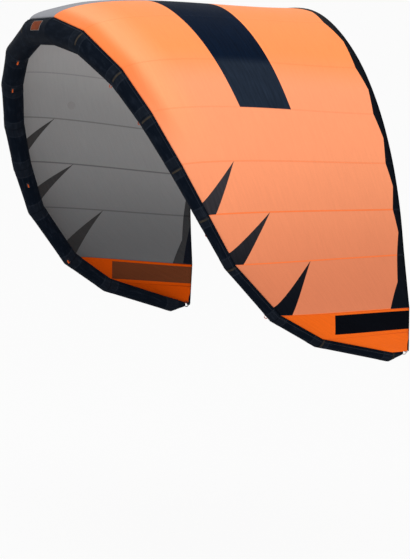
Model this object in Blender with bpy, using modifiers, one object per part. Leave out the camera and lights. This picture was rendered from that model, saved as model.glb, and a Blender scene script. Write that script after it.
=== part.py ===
"""Kitesurf kite with an inflatable leading edge and no struts, hung as in flight. Metres, +Z up."""

import math

import bmesh
import bpy
from mathutils import Matrix, Vector

# The leading edge seen from the front is a superellipse arch. All widths run along that arch.
ARCH_HALF_WIDTH = 1.562
ARCH_HEIGHT = 2.10
ARCH_POWER = 2.34
PANEL_FRONT_WIDTHS = (0.44, 0.50, 0.38, 0.40, 0.37, 0.37, 0.42)
TIP_FRONT_WIDTHS = (0.23, 0.19)
# Depth from the leading edge's crown to the trailing edge. The sweep of the leading edge is in shares of it:
# with the square of the distance along the arch, then by a share per metre of arch near the tip.
REAR_Y = 2.07
SWEEP_SHARE = 0.0483
TIP_SWEEP_SHARES = (0.3912, 0.7439, 1.57)
TUBE_RADIUS_CENTRE = 0.108
TUBE_RADIUS_TIP = 0.055
TUBE_END_RADIUS = 0.020
TUBE_END_LENGTH = 0.125
TUBE_WALL = 0.0015
TUBE_SIDES = 16

# The trailing edge is a second arch. It hollows forward between the middle and the tip and flares back at both.
REAR_SPREAD = 0.01
REAR_HALF_WIDTH = ARCH_HALF_WIDTH + REAR_SPREAD
REAR_HEIGHT = 1.70
REAR_POWER = 2.2
REAR_APEX_RISE = 0.11
REAR_HOLLOW = 0.024
REAR_FLARE = 0.068
REAR_HOLLOW_PLACE = 0.55
PANEL_REAR_WIDTHS = (0.59, 0.615, 0.42, 0.39, 0.35, 0.345, 0.41)
TIP_REAR_SHARES = (0.55, 1.0)
TIP_CORNER_SHARE = 1.50

# The cloth leaves the tube at this angle behind its outermost line.
ATTACH_DEG = -14.0
TIP_ATTACH_DEG = 22.0
CAMBER = 0.048
TIP_CAMBER_SHARE = 0.6
CAMBER_FRONT_POWER = 0.61
CAMBER_REAR_POWER = 1.66
BILLOW = 0.010
CLOTH = 0.002
BAND_AT_SEAM = 0.065
BAND_AT_MIDDLE = 0.035
BAND_LAST_MIDDLE = 0.085
BAND_AT_TIP_SEAM = 0.18
PANEL_ROWS = 10
PANEL_COLUMNS = 4
ROW_POWER = 1.4

# A hung kite twists a little from wing to wing.
WING_TWIST_DEG = 2.4
TWIST_AXIS_Y = 1.47
TWIST_AXIS_Z = -1.26

GAP = 0.0003
SEAM_GAP = 0.0006
CLOTH_GAP = 0.0008
BLADDER_WALL = 0.001
BLADDER_CLEARANCE = 0.004

# Inflation valve on the rear underside of the first segment of the near half.
VALVE_FACET = 6
VALVE_NECK_RADIUS = 0.0120
VALVE_NECK_WALL = 0.0025
VALVE_FLANGE_RIM = 0.0065
VALVE_FLANGE_RADIUS = VALVE_NECK_RADIUS + VALVE_FLANGE_RIM
VALVE_FLANGE = 0.0030
VALVE_NECK_DEPTH = 0.014
VALVE_NECK_HEIGHT = 0.010
VALVE_HOLE_CLEARANCE = 0.0006
INSERT_WALL = 0.0030
INSERT_DEPTH = 0.008
INSERT_LIP = 0.0022
FLAP_THICK = 0.0010
FLAP_CLEARANCE = 0.0010
CAP_OVERHANG = 0.0018
CAP_RADIUS = VALVE_NECK_RADIUS + CAP_OVERHANG
CAP_THICK = 0.0030
STRAP_WIDTH = 0.008
STRAP_THICK = 0.0030

# Webbing loops for the bridle, four on each half, as (segment, share of its length).
LOOP_PLACES = ((2, 0.90), (3, 0.92), (6, 0.36), (7, 0.96))
LOOP_FACET = 9
LOOP_RADIUS = 0.013
LOOP_CORD_RADIUS = 0.003
LOOP_STANDOFF = 0.0008
TIP_LOOP_RADIUS = 0.020
TIP_LOOP_CORD_RADIUS = 0.004
LOOP_STEPS = 14
LOOP_SIDES = 6

SIDES = (("right", 1), ("left", -1))
ARCH_SAMPLES = 800


def clear_scene():
    for old in list(bpy.data.objects):
        bpy.data.objects.remove(old)


def make_material(name, colour, roughness, metallic=0.0):
    made = bpy.data.materials.new(name)
    made.use_nodes = True
    shader = made.node_tree.nodes["Principled BSDF"]
    shader.inputs["Base Color"].default_value = (*colour, 1.0)
    shader.inputs["Roughness"].default_value = roughness
    shader.inputs["Metallic"].default_value = metallic
    return made


def arch_point(half_width, height, power, distance):
    """Point of a superellipse arch at a distance along it from its top, going straight down at the end."""
    x, z, gone = 0.0, 0.0, 0.0
    for step in range(1, ARCH_SAMPLES + 1):
        angle = 0.5 * math.pi * step / ARCH_SAMPLES
        next_x = half_width * math.sin(angle) ** (2.0 / power)
        next_z = -height * (1.0 - max(math.cos(angle), 0.0) ** (2.0 / power))
        length = math.hypot(next_x - x, next_z - z)
        if gone + length >= distance:
            share = (distance - gone) / length
            return x + share * (next_x - x), z + share * (next_z - z)
        x, z, gone = next_x, next_z, gone + length
    return x, z - (distance - gone)


def running_total(widths):
    total = [0.0]
    for width in widths:
        total.append(total[-1] + width)
    return total


FRONT = running_total(PANEL_FRONT_WIDTHS + TIP_FRONT_WIDTHS)
REAR = running_total(PANEL_REAR_WIDTHS)
PANELS = len(PANEL_FRONT_WIDTHS)
SEGMENTS = PANELS + len(TIP_FRONT_WIDTHS)
LAST_PLAIN = SEGMENTS - len(TIP_SWEEP_SHARES)


def tube_centres():
    """Kinks of the leading edge on the near half, and the end of the tapered tip."""
    points = []
    for index, distance in enumerate(FRONT):
        x, z = arch_point(ARCH_HALF_WIDTH, ARCH_HEIGHT, ARCH_POWER, distance)
        if index <= LAST_PLAIN:
            y = REAR_Y * SWEEP_SHARE * distance ** 2
        else:
            slant = REAR_Y * TIP_SWEEP_SHARES[index - LAST_PLAIN - 1]
            y = points[-1].y + (distance - FRONT[index - 1]) * slant
        points.append(Vector((x, y, z - TUBE_RADIUS_CENTRE)))
    along = (points[-1] - points[-2]).normalized()
    level = Vector((along.x, along.y, 0.0)).normalized()
    points.append(points[-1] + level * TUBE_END_LENGTH)
    return points


CENTRES = tube_centres()
STATIONS = len(CENTRES)


def tube_radius(index):
    if index >= STATIONS - 1:
        return TUBE_END_RADIUS
    share = FRONT[index] / FRONT[-1]
    return TUBE_RADIUS_CENTRE + (TUBE_RADIUS_TIP - TUBE_RADIUS_CENTRE) * share


def attach_angle(index):
    last = min(index, SEGMENTS)
    share = (FRONT[last] - FRONT[LAST_PLAIN]) / (FRONT[-1] - FRONT[LAST_PLAIN])
    share = max(share, 0.0)
    return math.radians(ATTACH_DEG + (TIP_ATTACH_DEG - ATTACH_DEG) * share)


def tube_frame(index):
    """Outward and rearward directions of the tube's cross-section at a kink."""
    if index == 0:
        along = Vector((1.0, 0.0, 0.0))
    elif index == STATIONS - 1:
        along = (CENTRES[-1] - CENTRES[-2]).normalized()
    else:
        before = (CENTRES[index] - CENTRES[index - 1]).normalized()
        after = (CENTRES[index + 1] - CENTRES[index]).normalized()
        along = (before + after).normalized()
    lower = min(max(index - 1, 0), SEGMENTS - 1)
    upper = min(index + 1, SEGMENTS)
    run = CENTRES[upper] - CENTRES[lower]
    outward = Vector((-run.z, 0.0, run.x)).normalized()
    if index == 0:
        outward = Vector((0.0, 0.0, 1.0))
    outward = (outward - along * outward.dot(along)).normalized()
    rearward = along.cross(outward)
    if rearward.y + rearward.z < 0.0:
        rearward = -rearward
    return outward, rearward


def ring_point(index, angle, radius):
    outward, rearward = tube_frame(index)
    return CENTRES[index] + (outward * math.cos(angle) + rearward * math.sin(angle)) * radius


def attach_point(index):
    return ring_point(index, attach_angle(index), tube_radius(index) + CLOTH_GAP)


def rear_depth(distance):
    """How far back the trailing edge lies, at a distance along it from the middle."""
    away = (distance / REAR[-1] - REAR_HOLLOW_PLACE) / (1.0 - REAR_HOLLOW_PLACE)
    return REAR_Y - REAR_HOLLOW + REAR_FLARE * away ** 2


def trailing_points():
    """Ends of the seams on the trailing edge, near half, then the rear corner of the tip."""
    points = []
    for distance in REAR:
        x, z = arch_point(REAR_HALF_WIDTH, REAR_HEIGHT, REAR_POWER, distance)
        points.append(Vector((x, rear_depth(distance), z + REAR_APEX_RISE - TUBE_RADIUS_CENTRE)))
    start = points[-1]
    corner = attach_point(SEGMENTS).lerp(attach_point(STATIONS - 1), TIP_CORNER_SHARE)
    for share in TIP_REAR_SHARES:
        points.append(start.lerp(corner, share))
    return points


ATTACH = [attach_point(index) for index in range(STATIONS)]
TRAILING = trailing_points()
OUTWARD = [tube_frame(index)[0] for index in range(STATIONS)]


def camber_shape(share):
    top = CAMBER_FRONT_POWER / (CAMBER_FRONT_POWER + CAMBER_REAR_POWER)
    peak = top ** CAMBER_FRONT_POWER * (1.0 - top) ** CAMBER_REAR_POWER
    return share ** CAMBER_FRONT_POWER * (1.0 - share) ** CAMBER_REAR_POWER / peak


def place(point, side):
    """Mirror a near-half point to its side and add the twist of the hung kite."""
    x = point.x * side
    angle = math.radians(WING_TWIST_DEG) * x / ARCH_HALF_WIDTH
    y = point.y - TWIST_AXIS_Y
    z = point.z - TWIST_AXIS_Z
    turned_y = y * math.cos(angle) - z * math.sin(angle)
    turned_z = y * math.sin(angle) + z * math.cos(angle)
    return Vector((x, TWIST_AXIS_Y + turned_y, TWIST_AXIS_Z + turned_z))


def cloth_point(station, chord_share, side):
    """Point of the cloth. Whole stations are seams, and 0 to 1 in chord_share runs from tube to trailing edge."""
    low = min(int(station), SEGMENTS - 1)
    share = station - low
    front = ATTACH[low].lerp(ATTACH[low + 1], share)
    rear = TRAILING[low].lerp(TRAILING[low + 1], share)
    outward = OUTWARD[low].lerp(OUTWARD[low + 1], share).normalized()
    chord = (rear - front).length
    width = (ATTACH[low + 1] - ATTACH[low]).length
    flat_end = min(1.0, TIP_CAMBER_SHARE + SEGMENTS - station)
    rise = CAMBER * chord * camber_shape(chord_share) * flat_end
    bulge = BILLOW * width * math.sin(math.pi * share) * math.sin(math.pi * min(chord_share, 1.0))
    return place(front.lerp(rear, chord_share) + outward * (rise + bulge), side)


def chord_length(station):
    low = min(int(station), SEGMENTS - 1)
    share = station - low
    front = ATTACH[low].lerp(ATTACH[low + 1], share)
    rear = TRAILING[low].lerp(TRAILING[low + 1], share)
    return (rear - front).length


def band_width(station):
    """Width of the trailing-edge band, wide at the seams and narrow between them."""
    low = min(int(station), PANELS - 1)
    share = station - low
    first = BAND_AT_SEAM
    middle = BAND_AT_MIDDLE
    last = BAND_AT_SEAM
    if low == PANELS - 1:
        middle = BAND_LAST_MIDDLE
        last = BAND_AT_TIP_SEAM
    if share < 0.5:
        return first + (middle - first) * share * 2.0
    return middle + (last - middle) * (share - 0.5) * 2.0


clear_scene()
kite = bpy.data.collections.new("kitesurf_kite")
bpy.context.scene.collection.children.link(kite)
cutters = bpy.data.collections.new("cutters")
bpy.context.scene.collection.children.link(cutters)

TUBE_CLOTH = make_material("tube_sailcloth", (0.006, 0.010, 0.016), 0.55)
NEAR_CLOTH = make_material("orange_cloth", (0.95, 0.36, 0.14), 0.6)
FAR_CLOTH = make_material("grey_cloth", (0.24, 0.24, 0.25), 0.6)
TIP_CLOTH = make_material("tip_cloth", (0.90, 0.14, 0.01), 0.6)
DARK_CLOTH = make_material("dark_cloth", (0.010, 0.012, 0.016), 0.6)
BLADDER_FILM = make_material("bladder_film", (0.75, 0.75, 0.72), 0.35)
VALVE_PLASTIC = make_material("valve_plastic", (0.02, 0.02, 0.022), 0.4)
FLAP_RUBBER = make_material("flap_rubber", (0.25, 0.25, 0.26), 0.7)
LOOP_WEBBING = make_material("loop_webbing", (0.90, 0.20, 0.03), 0.8)
TIP_CORD = make_material("tip_cord", (0.80, 0.80, 0.80), 0.8)


def finish(name, mesh_maker, material, smooth=True):
    closed = all(edge.is_manifold for edge in mesh_maker.edges)
    if closed and mesh_maker.calc_volume(signed=True) < 0.0:
        bmesh.ops.reverse_faces(mesh_maker, faces=mesh_maker.faces)
    mesh = bpy.data.meshes.new(name)
    mesh_maker.to_mesh(mesh)
    mesh_maker.free()
    made = bpy.data.objects.new(name, mesh)
    mesh.materials.append(material)
    for face in mesh.polygons:
        face.use_smooth = smooth
    kite.objects.link(made)
    return made


def ring(maker, centre_list, side):
    return [maker.verts.new(place(point, side)) for point in centre_list]


def bridge(maker, first, second):
    """Join two rings. The diagonals run one way, so that an inner skin follows the outer one."""
    count = len(first)
    for step in range(count):
        following = (step + 1) % count
        maker.faces.new((first[step], first[following], second[following]))
        maker.faces.new((first[step], second[following], second[step]))


def ring_points(index, radius, shift):
    """Corner points of one cross-section, moved along the tube by shift."""
    if index < STATIONS - 1:
        along = (CENTRES[index + 1] - CENTRES[index]).normalized()
    else:
        along = (CENTRES[index] - CENTRES[index - 1]).normalized()
    if shift < 0.0 and index > 0:
        along = (CENTRES[index] - CENTRES[index - 1]).normalized()
    start = attach_angle(index)
    turn = 2.0 * math.pi / TUBE_SIDES
    return [ring_point(index, start + turn * step, radius) + along * shift for step in range(TUBE_SIDES)]


def make_segment(name, index, side):
    """Open casing tube from kink index to the next."""
    maker = bmesh.new()
    half = GAP / 2.0
    outer_a = ring(maker, ring_points(index, tube_radius(index), half), side)
    outer_b = ring(maker, ring_points(index + 1, tube_radius(index + 1), -half), side)
    inner_a = ring(maker, ring_points(index, tube_radius(index) - TUBE_WALL, half), side)
    inner_b = ring(maker, ring_points(index + 1, tube_radius(index + 1) - TUBE_WALL, -half), side)
    bridge(maker, outer_a, outer_b)
    bridge(maker, outer_b, inner_b)
    bridge(maker, inner_a, inner_b)
    bridge(maker, inner_a, outer_a)
    bmesh.ops.recalc_face_normals(maker, faces=maker.faces)
    return finish(name, maker, TUBE_CLOTH)


def make_tube_end(name, side):
    """Tapered end of the casing, open toward the last segment and closed at the tip."""
    maker = bmesh.new()
    first = SEGMENTS
    last = STATIONS - 1
    half = GAP / 2.0
    outer_a = ring(maker, ring_points(first, tube_radius(first), half), side)
    outer_b = ring(maker, ring_points(last, tube_radius(last), 0.0), side)
    inner_a = ring(maker, ring_points(first, tube_radius(first) - TUBE_WALL, half), side)
    inner_b = ring(maker, ring_points(last, tube_radius(last) - TUBE_WALL, -TUBE_WALL), side)
    bridge(maker, outer_a, outer_b)
    bridge(maker, inner_a, inner_b)
    bridge(maker, inner_a, outer_a)
    maker.faces.new(outer_b)
    maker.faces.new(inner_b)
    bmesh.ops.recalc_face_normals(maker, faces=maker.faces)
    return finish(name, maker, TUBE_CLOTH)


def make_sheet(name, stations, share_rows, side, material):
    """Solidified cloth over a grid of stations. share_rows gives the chord shares at a station."""
    maker = bmesh.new()
    columns = []
    for station in stations:
        columns.append([maker.verts.new(cloth_point(station, share, side)) for share in share_rows(station)])
    for left, right in zip(columns, columns[1:]):
        for row in range(len(left) - 1):
            maker.faces.new((left[row], left[row + 1], right[row + 1], right[row]))
    maker.normal_update()
    low = min(int(stations[0]), STATIONS - 1)
    outward = OUTWARD[low].copy()
    outward.x *= side
    total = Vector()
    for face in maker.faces:
        total += face.normal
    if total.dot(outward) < 0.0:
        bmesh.ops.reverse_faces(maker, faces=maker.faces)
    made = finish(name, maker, material)
    shell = made.modifiers.new("cloth", "SOLIDIFY")
    shell.thickness = CLOTH
    shell.offset = 1.0
    return made


def spread(first, last, count):
    return [first + (last - first) * step / count for step in range(count + 1)]


def panel_shares(station):
    top = 1.0 - (band_width(station) + SEAM_GAP) / chord_length(station)
    return [top * (step / PANEL_ROWS) ** ROW_POWER for step in range(PANEL_ROWS + 1)]


def tip_shares(station):
    return [(step / PANEL_ROWS) ** ROW_POWER for step in range(PANEL_ROWS + 1)]


def band_shares(station):
    start = 1.0 - band_width(station) / chord_length(station)
    return [start, (start + 1.0) / 2.0, 1.0]


def seam_inset(index):
    return SEAM_GAP / 2.0 / (ATTACH[index + 1] - ATTACH[index]).length


def make_bladder():
    """One air bladder through the whole tube, from tip to tip."""
    maker = bmesh.new()
    order = [(index, -1) for index in range(SEGMENTS, 0, -1)]
    order += [(index, 1) for index in range(SEGMENTS + 1)]
    skin = TUBE_WALL + BLADDER_CLEARANCE
    outer, inner = [], []
    for index, side in order:
        shift = 0.0
        if index == SEGMENTS:
            shift = -BLADDER_CLEARANCE
        radius = tube_radius(index) - skin
        outer.append(ring(maker, ring_points(index, radius, shift), side))
        if shift:
            shift -= BLADDER_WALL
        inner.append(ring(maker, ring_points(index, radius - BLADDER_WALL, shift), side))
    for first, second in zip(outer, outer[1:]):
        bridge(maker, first, second)
    for first, second in zip(inner, inner[1:]):
        bridge(maker, first, second)
    for loop in (outer[0], outer[-1], inner[0], inner[-1]):
        maker.faces.new(loop)
    bmesh.ops.recalc_face_normals(maker, faces=maker.faces)
    inside = set()
    for loop in inner:
        inside.update(loop)
    inner_faces = [face for face in maker.faces if all(vert in inside for vert in face.verts)]
    test = inner_faces[len(inner_faces) // 2]
    test_centre = test.calc_center_median()
    nearest = min((place(point, side) for point in CENTRES for side in (1, -1)),
                  key=lambda point: (point - test_centre).length)
    if test.normal.dot(nearest - test_centre) < 0.0:
        bmesh.ops.reverse_faces(maker, faces=inner_faces)
    return finish("bladder", maker, BLADDER_FILM)


def facet_frame(index, share, facet, side):
    """Frame on a flat facet of the casing: X along the tube, Z out of the facet."""
    turn = 2.0 * math.pi / TUBE_SIDES
    corners = []
    for end in (index, index + 1):
        start = attach_angle(end)
        for step in (facet, facet + 1):
            corners.append(place(ring_point(end, start + turn * step, tube_radius(end)), side))
    low_a, low_b, high_a, high_b = corners
    first = low_a.lerp(high_a, share)
    second = low_b.lerp(high_b, share)
    middle = (first + second) / 2.0
    along = ((high_a + high_b) - (low_a + low_b)).normalized()
    across = (second - first).normalized()
    outward = along.cross(across).normalized()
    centre = place(CENTRES[index].lerp(CENTRES[index + 1], share), side)
    if outward.dot(middle - centre) < 0.0:
        outward = -outward
    across = outward.cross(along).normalized()
    frame = Matrix((along, across, outward)).transposed().to_4x4()
    frame.translation = middle
    return frame


def make_turned(name, profile, material, frame, steps=32):
    """Solid turned about the frame's Z axis from a closed profile of (radius, height) points."""
    maker = bmesh.new()
    count = len(profile)
    loops = []
    for step in range(steps):
        angle = 2.0 * math.pi * step / steps
        loops.append([maker.verts.new((r * math.cos(angle), r * math.sin(angle), h)) for r, h in profile])
    for step in range(steps):
        first = loops[step]
        second = loops[(step + 1) % steps]
        for corner in range(count):
            following = (corner + 1) % count
            maker.faces.new((first[corner], second[corner], second[following], first[following]))
    bmesh.ops.recalc_face_normals(maker, faces=maker.faces)
    made = finish(name, maker, material, smooth=False)
    made.matrix_world = frame
    return made


def make_disc(name, radius, thick, material, frame):
    maker = bmesh.new()
    bmesh.ops.create_cone(maker, cap_ends=True, segments=32, radius1=radius, radius2=radius, depth=thick)
    made = finish(name, maker, material, smooth=False)
    made.matrix_world = frame
    return made


def make_loop(name, radius, cord, material, frame):
    """Ring of webbing standing in the frame's X and Z plane, its foot on the origin."""
    maker = bmesh.new()
    loops = []
    for step in range(LOOP_STEPS):
        angle = 2.0 * math.pi * step / LOOP_STEPS
        spoke = Vector((math.sin(angle), 0.0, -math.cos(angle)))
        middle = Vector((0.0, 0.0, radius)) + spoke * radius
        section = []
        for part in range(LOOP_SIDES):
            bend = 2.0 * math.pi * part / LOOP_SIDES
            section.append(middle + (spoke * math.cos(bend) + Vector((0.0, math.sin(bend), 0.0))) * cord)
        loops.append([maker.verts.new(point) for point in section])
    for step in range(LOOP_STEPS):
        bridge(maker, loops[step], loops[(step + 1) % LOOP_STEPS])
    bmesh.ops.recalc_face_normals(maker, faces=maker.faces)
    made = finish(name, maker, material)
    made.matrix_world = frame
    return made


segments = {}
for side_name, side in SIDES:
    for index in range(SEGMENTS):
        name = "tube_segment_%s_%d" % (side_name, index + 1)
        segments[name] = make_segment(name, index, side)
    make_tube_end("tube_end_" + side_name, side)
    for index in range(PANELS):
        inset = seam_inset(index)
        columns = spread(index + inset, index + 1 - inset, PANEL_COLUMNS)
        cloth = NEAR_CLOTH if side > 0 else FAR_CLOTH
        make_sheet("canopy_panel_%s_%d" % (side_name, index + 1), columns, panel_shares, side, cloth)
    inset = seam_inset(PANELS)
    tip_columns = spread(PANELS + inset, SEGMENTS, 2 * PANEL_COLUMNS)
    make_sheet("canopy_tip_" + side_name, tip_columns, tip_shares, side, TIP_CLOTH)
    band_columns = []
    for index in range(PANELS):
        band_columns += spread(index, index + 1, 2)[1:]
    first = [seam_inset(0)]
    band_columns = first + band_columns[:-1] + [PANELS - seam_inset(PANELS - 1)]
    make_sheet("trailing_band_" + side_name, band_columns, band_shares, side, DARK_CLOTH)
    for number, (segment, share) in enumerate(LOOP_PLACES, start=1):
        frame = facet_frame(segment - 1, share, LOOP_FACET, side)
        foot = frame @ Matrix.Translation((0.0, 0.0, LOOP_STANDOFF + LOOP_CORD_RADIUS))
        make_loop("bridle_loop_%s_%d" % (side_name, number), LOOP_RADIUS, LOOP_CORD_RADIUS, LOOP_WEBBING, foot)
    end = place(CENTRES[-1], side)
    behind = (end - place(CENTRES[-2], side)).normalized()
    sideways = Vector((0.0, 0.0, 1.0)).cross(behind).normalized()
    tip_frame = Matrix((behind.cross(sideways), -sideways, behind)).transposed().to_4x4()
    tip_frame.translation = end + behind * (GAP + TIP_LOOP_CORD_RADIUS)
    make_loop("tip_loop_" + side_name, TIP_LOOP_RADIUS, TIP_LOOP_CORD_RADIUS, TIP_CORD, tip_frame)

bladder = make_bladder()
valve = facet_frame(0, 0.5, VALVE_FACET, 1)
bore = VALVE_NECK_RADIUS - VALVE_NECK_WALL
flange_top = GAP + VALVE_FLANGE
make_turned(
    "valve_base",
    (
        (bore, -VALVE_NECK_DEPTH),
        (VALVE_NECK_RADIUS, -VALVE_NECK_DEPTH),
        (VALVE_NECK_RADIUS, GAP),
        (VALVE_FLANGE_RADIUS, GAP),
        (VALVE_FLANGE_RADIUS, flange_top),
        (VALVE_NECK_RADIUS, flange_top),
        (VALVE_NECK_RADIUS, VALVE_NECK_HEIGHT),
        (bore, VALVE_NECK_HEIGHT),
    ),
    VALVE_PLASTIC,
    valve,
)
insert_radius = bore - GAP
lip_foot = VALVE_NECK_HEIGHT + GAP
lip_top = lip_foot + INSERT_LIP
make_turned(
    "valve_insert",
    (
        (insert_radius - INSERT_WALL, -INSERT_DEPTH),
        (insert_radius, -INSERT_DEPTH),
        (insert_radius, lip_foot),
        (VALVE_NECK_RADIUS, lip_foot),
        (VALVE_NECK_RADIUS, lip_top),
        (insert_radius - INSERT_WALL, lip_top),
    ),
    VALVE_PLASTIC,
    valve,
)
flap_radius = insert_radius - FLAP_CLEARANCE
flap_height = -INSERT_DEPTH - GAP - FLAP_THICK / 2.0
flap_frame = valve @ Matrix.Translation((0.0, 0.0, flap_height))
make_disc("valve_flap", flap_radius, FLAP_THICK, FLAP_RUBBER, flap_frame)
cap_foot = lip_top + GAP
cap_frame = valve @ Matrix.Translation((0.0, 0.0, cap_foot + CAP_THICK / 2.0))
make_disc("valve_cap", CAP_RADIUS, CAP_THICK, VALVE_PLASTIC, cap_frame)
strap_foot = flange_top + GAP
strap_top = cap_foot + CAP_THICK / 2.0
strap_frame = valve @ Matrix.Translation((CAP_RADIUS + GAP + STRAP_THICK / 2.0, 0.0, (strap_foot + strap_top) / 2.0))
strap_maker = bmesh.new()
bmesh.ops.create_cube(strap_maker, size=1.0)
bmesh.ops.scale(strap_maker, vec=(STRAP_THICK, STRAP_WIDTH, strap_top - strap_foot), verts=strap_maker.verts)
strap = finish("cap_strap", strap_maker, VALVE_PLASTIC, smooth=False)
strap.matrix_world = strap_frame

cutter_maker = bmesh.new()
cutter_radius = VALVE_NECK_RADIUS + VALVE_HOLE_CLEARANCE
cutter_depth = 4.0 * VALVE_NECK_DEPTH
bmesh.ops.create_cone(
    cutter_maker, cap_ends=True, segments=32, radius1=cutter_radius, radius2=cutter_radius, depth=cutter_depth
)
cutter_mesh = bpy.data.meshes.new("valve_hole")
cutter_maker.to_mesh(cutter_mesh)
cutter_maker.free()
cutter = bpy.data.objects.new("valve_hole", cutter_mesh)
cutter.hide_render = True
cutter.display_type = "WIRE"
cutters.objects.link(cutter)
cutter.matrix_world = valve
for holed in (bladder, segments["tube_segment_right_1"]):
    hole = holed.modifiers.new("valve_hole", "BOOLEAN")
    hole.operation = "DIFFERENCE"
    hole.solver = "EXACT"
    hole.object = cutter
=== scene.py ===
# %% [markdown]
# # A kitesurf kite in Blender
# The kite is a big arched sheet of thin cloth, sewn to an air-filled tube along its front edge.
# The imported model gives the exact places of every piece, so this lesson loads it first and keeps
# its size. Everything after that is about looks: cloth, seams, webbing, plastic, light.

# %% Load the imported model
import math

import bmesh
import bpy
from mathutils import Matrix, Vector


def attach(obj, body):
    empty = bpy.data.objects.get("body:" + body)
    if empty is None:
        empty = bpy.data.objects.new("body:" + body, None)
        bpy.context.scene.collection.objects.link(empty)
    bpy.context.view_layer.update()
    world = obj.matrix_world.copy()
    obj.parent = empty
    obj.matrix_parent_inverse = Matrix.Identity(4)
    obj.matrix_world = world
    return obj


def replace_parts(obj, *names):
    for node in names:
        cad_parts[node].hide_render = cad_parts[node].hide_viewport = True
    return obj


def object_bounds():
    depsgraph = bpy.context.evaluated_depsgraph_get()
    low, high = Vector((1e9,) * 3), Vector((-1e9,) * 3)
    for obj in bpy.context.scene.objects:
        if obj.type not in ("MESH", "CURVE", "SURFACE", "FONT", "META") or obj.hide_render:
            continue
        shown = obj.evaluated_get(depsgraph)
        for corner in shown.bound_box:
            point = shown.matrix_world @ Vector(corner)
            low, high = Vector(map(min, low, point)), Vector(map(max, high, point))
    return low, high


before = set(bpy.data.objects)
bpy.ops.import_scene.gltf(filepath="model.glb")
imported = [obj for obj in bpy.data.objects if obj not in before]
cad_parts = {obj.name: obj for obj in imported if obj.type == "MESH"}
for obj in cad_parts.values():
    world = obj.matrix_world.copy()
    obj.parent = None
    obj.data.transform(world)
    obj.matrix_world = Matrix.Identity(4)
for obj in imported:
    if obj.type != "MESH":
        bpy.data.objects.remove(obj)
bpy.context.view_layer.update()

# %% [markdown]
# ## The camera
# The photograph was taken from far away with a long lens, from the front right and a little above.
# A camera fitted to the seams gives the place and the lens. The lens is worked out from the width
# of the picture, and the camera is tipped down a little instead of being shifted.

# %% Camera
FOCAL_PIXELS = 3050.3
PICTURE_WIDTH = 410
CAMERA_PLACE = (20.446, -10.572, 1.400)
CAMERA_AIM = (-0.85573, 0.49632, -0.14623)
camera_data = bpy.data.cameras.new("long_lens")
camera_data.sensor_fit = "HORIZONTAL"
camera_data.sensor_width = 36.0
camera_data.lens = FOCAL_PIXELS / PICTURE_WIDTH * camera_data.sensor_width
camera_data.clip_end = 1500.0
camera = bpy.data.objects.new("long_lens", camera_data)
camera.location = CAMERA_PLACE
camera.rotation_euler = Vector(CAMERA_AIM).to_track_quat("-Z", "Y").to_euler()
bpy.context.scene.collection.objects.link(camera)
bpy.context.scene.camera = camera
print("lens", round(camera_data.lens, 1), "mm")

# %% [markdown]
# ## The shape of the kite, as numbers
# A kite maker draws two arches: one for the front tube and one for the trailing edge. Seams run
# between them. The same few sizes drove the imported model, so the cloth made here lies exactly
# where its solids lie. A station counts seams from the middle to the tip, and a chord share runs
# from 0 at the tube to 1 at the trailing edge.

# %% Sizes
ARCH_HALF_WIDTH, ARCH_HEIGHT, ARCH_POWER = 1.562, 2.10, 2.34
PANEL_FRONT_WIDTHS = (0.44, 0.50, 0.38, 0.40, 0.37, 0.37, 0.42)
TIP_FRONT_WIDTHS = (0.23, 0.19)
SWEEP_SHARE = 0.0483
TIP_SWEEP_SHARES = (0.3912, 0.7439, 1.57)
TUBE_RADIUS_CENTRE, TUBE_RADIUS_TIP = 0.108, 0.055
TUBE_END_RADIUS, TUBE_END_LENGTH = 0.020, 0.125
CASING_SIDES = 16
REAR_HALF_WIDTH, REAR_HEIGHT, REAR_POWER = ARCH_HALF_WIDTH + 0.01, 1.70, 2.2
REAR_APEX_RISE, REAR_Y = 0.11, 2.07
REAR_HOLLOW, REAR_FLARE, REAR_HOLLOW_PLACE = 0.024, 0.068, 0.55
PANEL_REAR_WIDTHS = (0.59, 0.615, 0.42, 0.39, 0.35, 0.345, 0.41)
TIP_REAR_SHARES = (0.55, 1.0)
TIP_CORNER_SHARE = 1.50
ATTACH_DEG, TIP_ATTACH_DEG = -14.0, 22.0
CAMBER, TIP_CAMBER_SHARE = 0.048, 0.6
CAMBER_FRONT_POWER, CAMBER_REAR_POWER = 0.61, 1.66
BILLOW = 0.004
BAND_AT_SEAM, BAND_AT_MIDDLE = 0.065, 0.035
BAND_LAST_MIDDLE, BAND_AT_TIP_SEAM = 0.085, 0.18
WING_TWIST_DEG, TWIST_AXIS_Y, TWIST_AXIS_Z = 2.4, 1.47, -1.26
CLOTH_GAP = 0.0008
ARCH_SAMPLES = 800


def running_total(widths):
    total = [0.0]
    for width in widths:
        total.append(total[-1] + width)
    return total


FRONT = running_total(PANEL_FRONT_WIDTHS + TIP_FRONT_WIDTHS)
REAR = running_total(PANEL_REAR_WIDTHS)
PANELS = len(PANEL_FRONT_WIDTHS)
SEGMENTS = PANELS + len(TIP_FRONT_WIDTHS)
LAST_PLAIN = SEGMENTS - len(TIP_SWEEP_SHARES)
print("seams on a half:", SEGMENTS, "front edge:", round(FRONT[-1], 2), "m")


# %% The front arch
def arch_point(half_width, height, power, distance):
    """Walk along a rounded arch from its top, and return the point at a distance."""
    x, z, gone = 0.0, 0.0, 0.0
    for step in range(1, ARCH_SAMPLES + 1):
        angle = 0.5 * math.pi * step / ARCH_SAMPLES
        next_x = half_width * math.sin(angle) ** (2.0 / power)
        next_z = -height * (1.0 - max(math.cos(angle), 0.0) ** (2.0 / power))
        length = math.hypot(next_x - x, next_z - z)
        if gone + length >= distance:
            share = (distance - gone) / length
            return x + share * (next_x - x), z + share * (next_z - z)
        x, z, gone = next_x, next_z, gone + length
    return x, z - (distance - gone)


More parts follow.
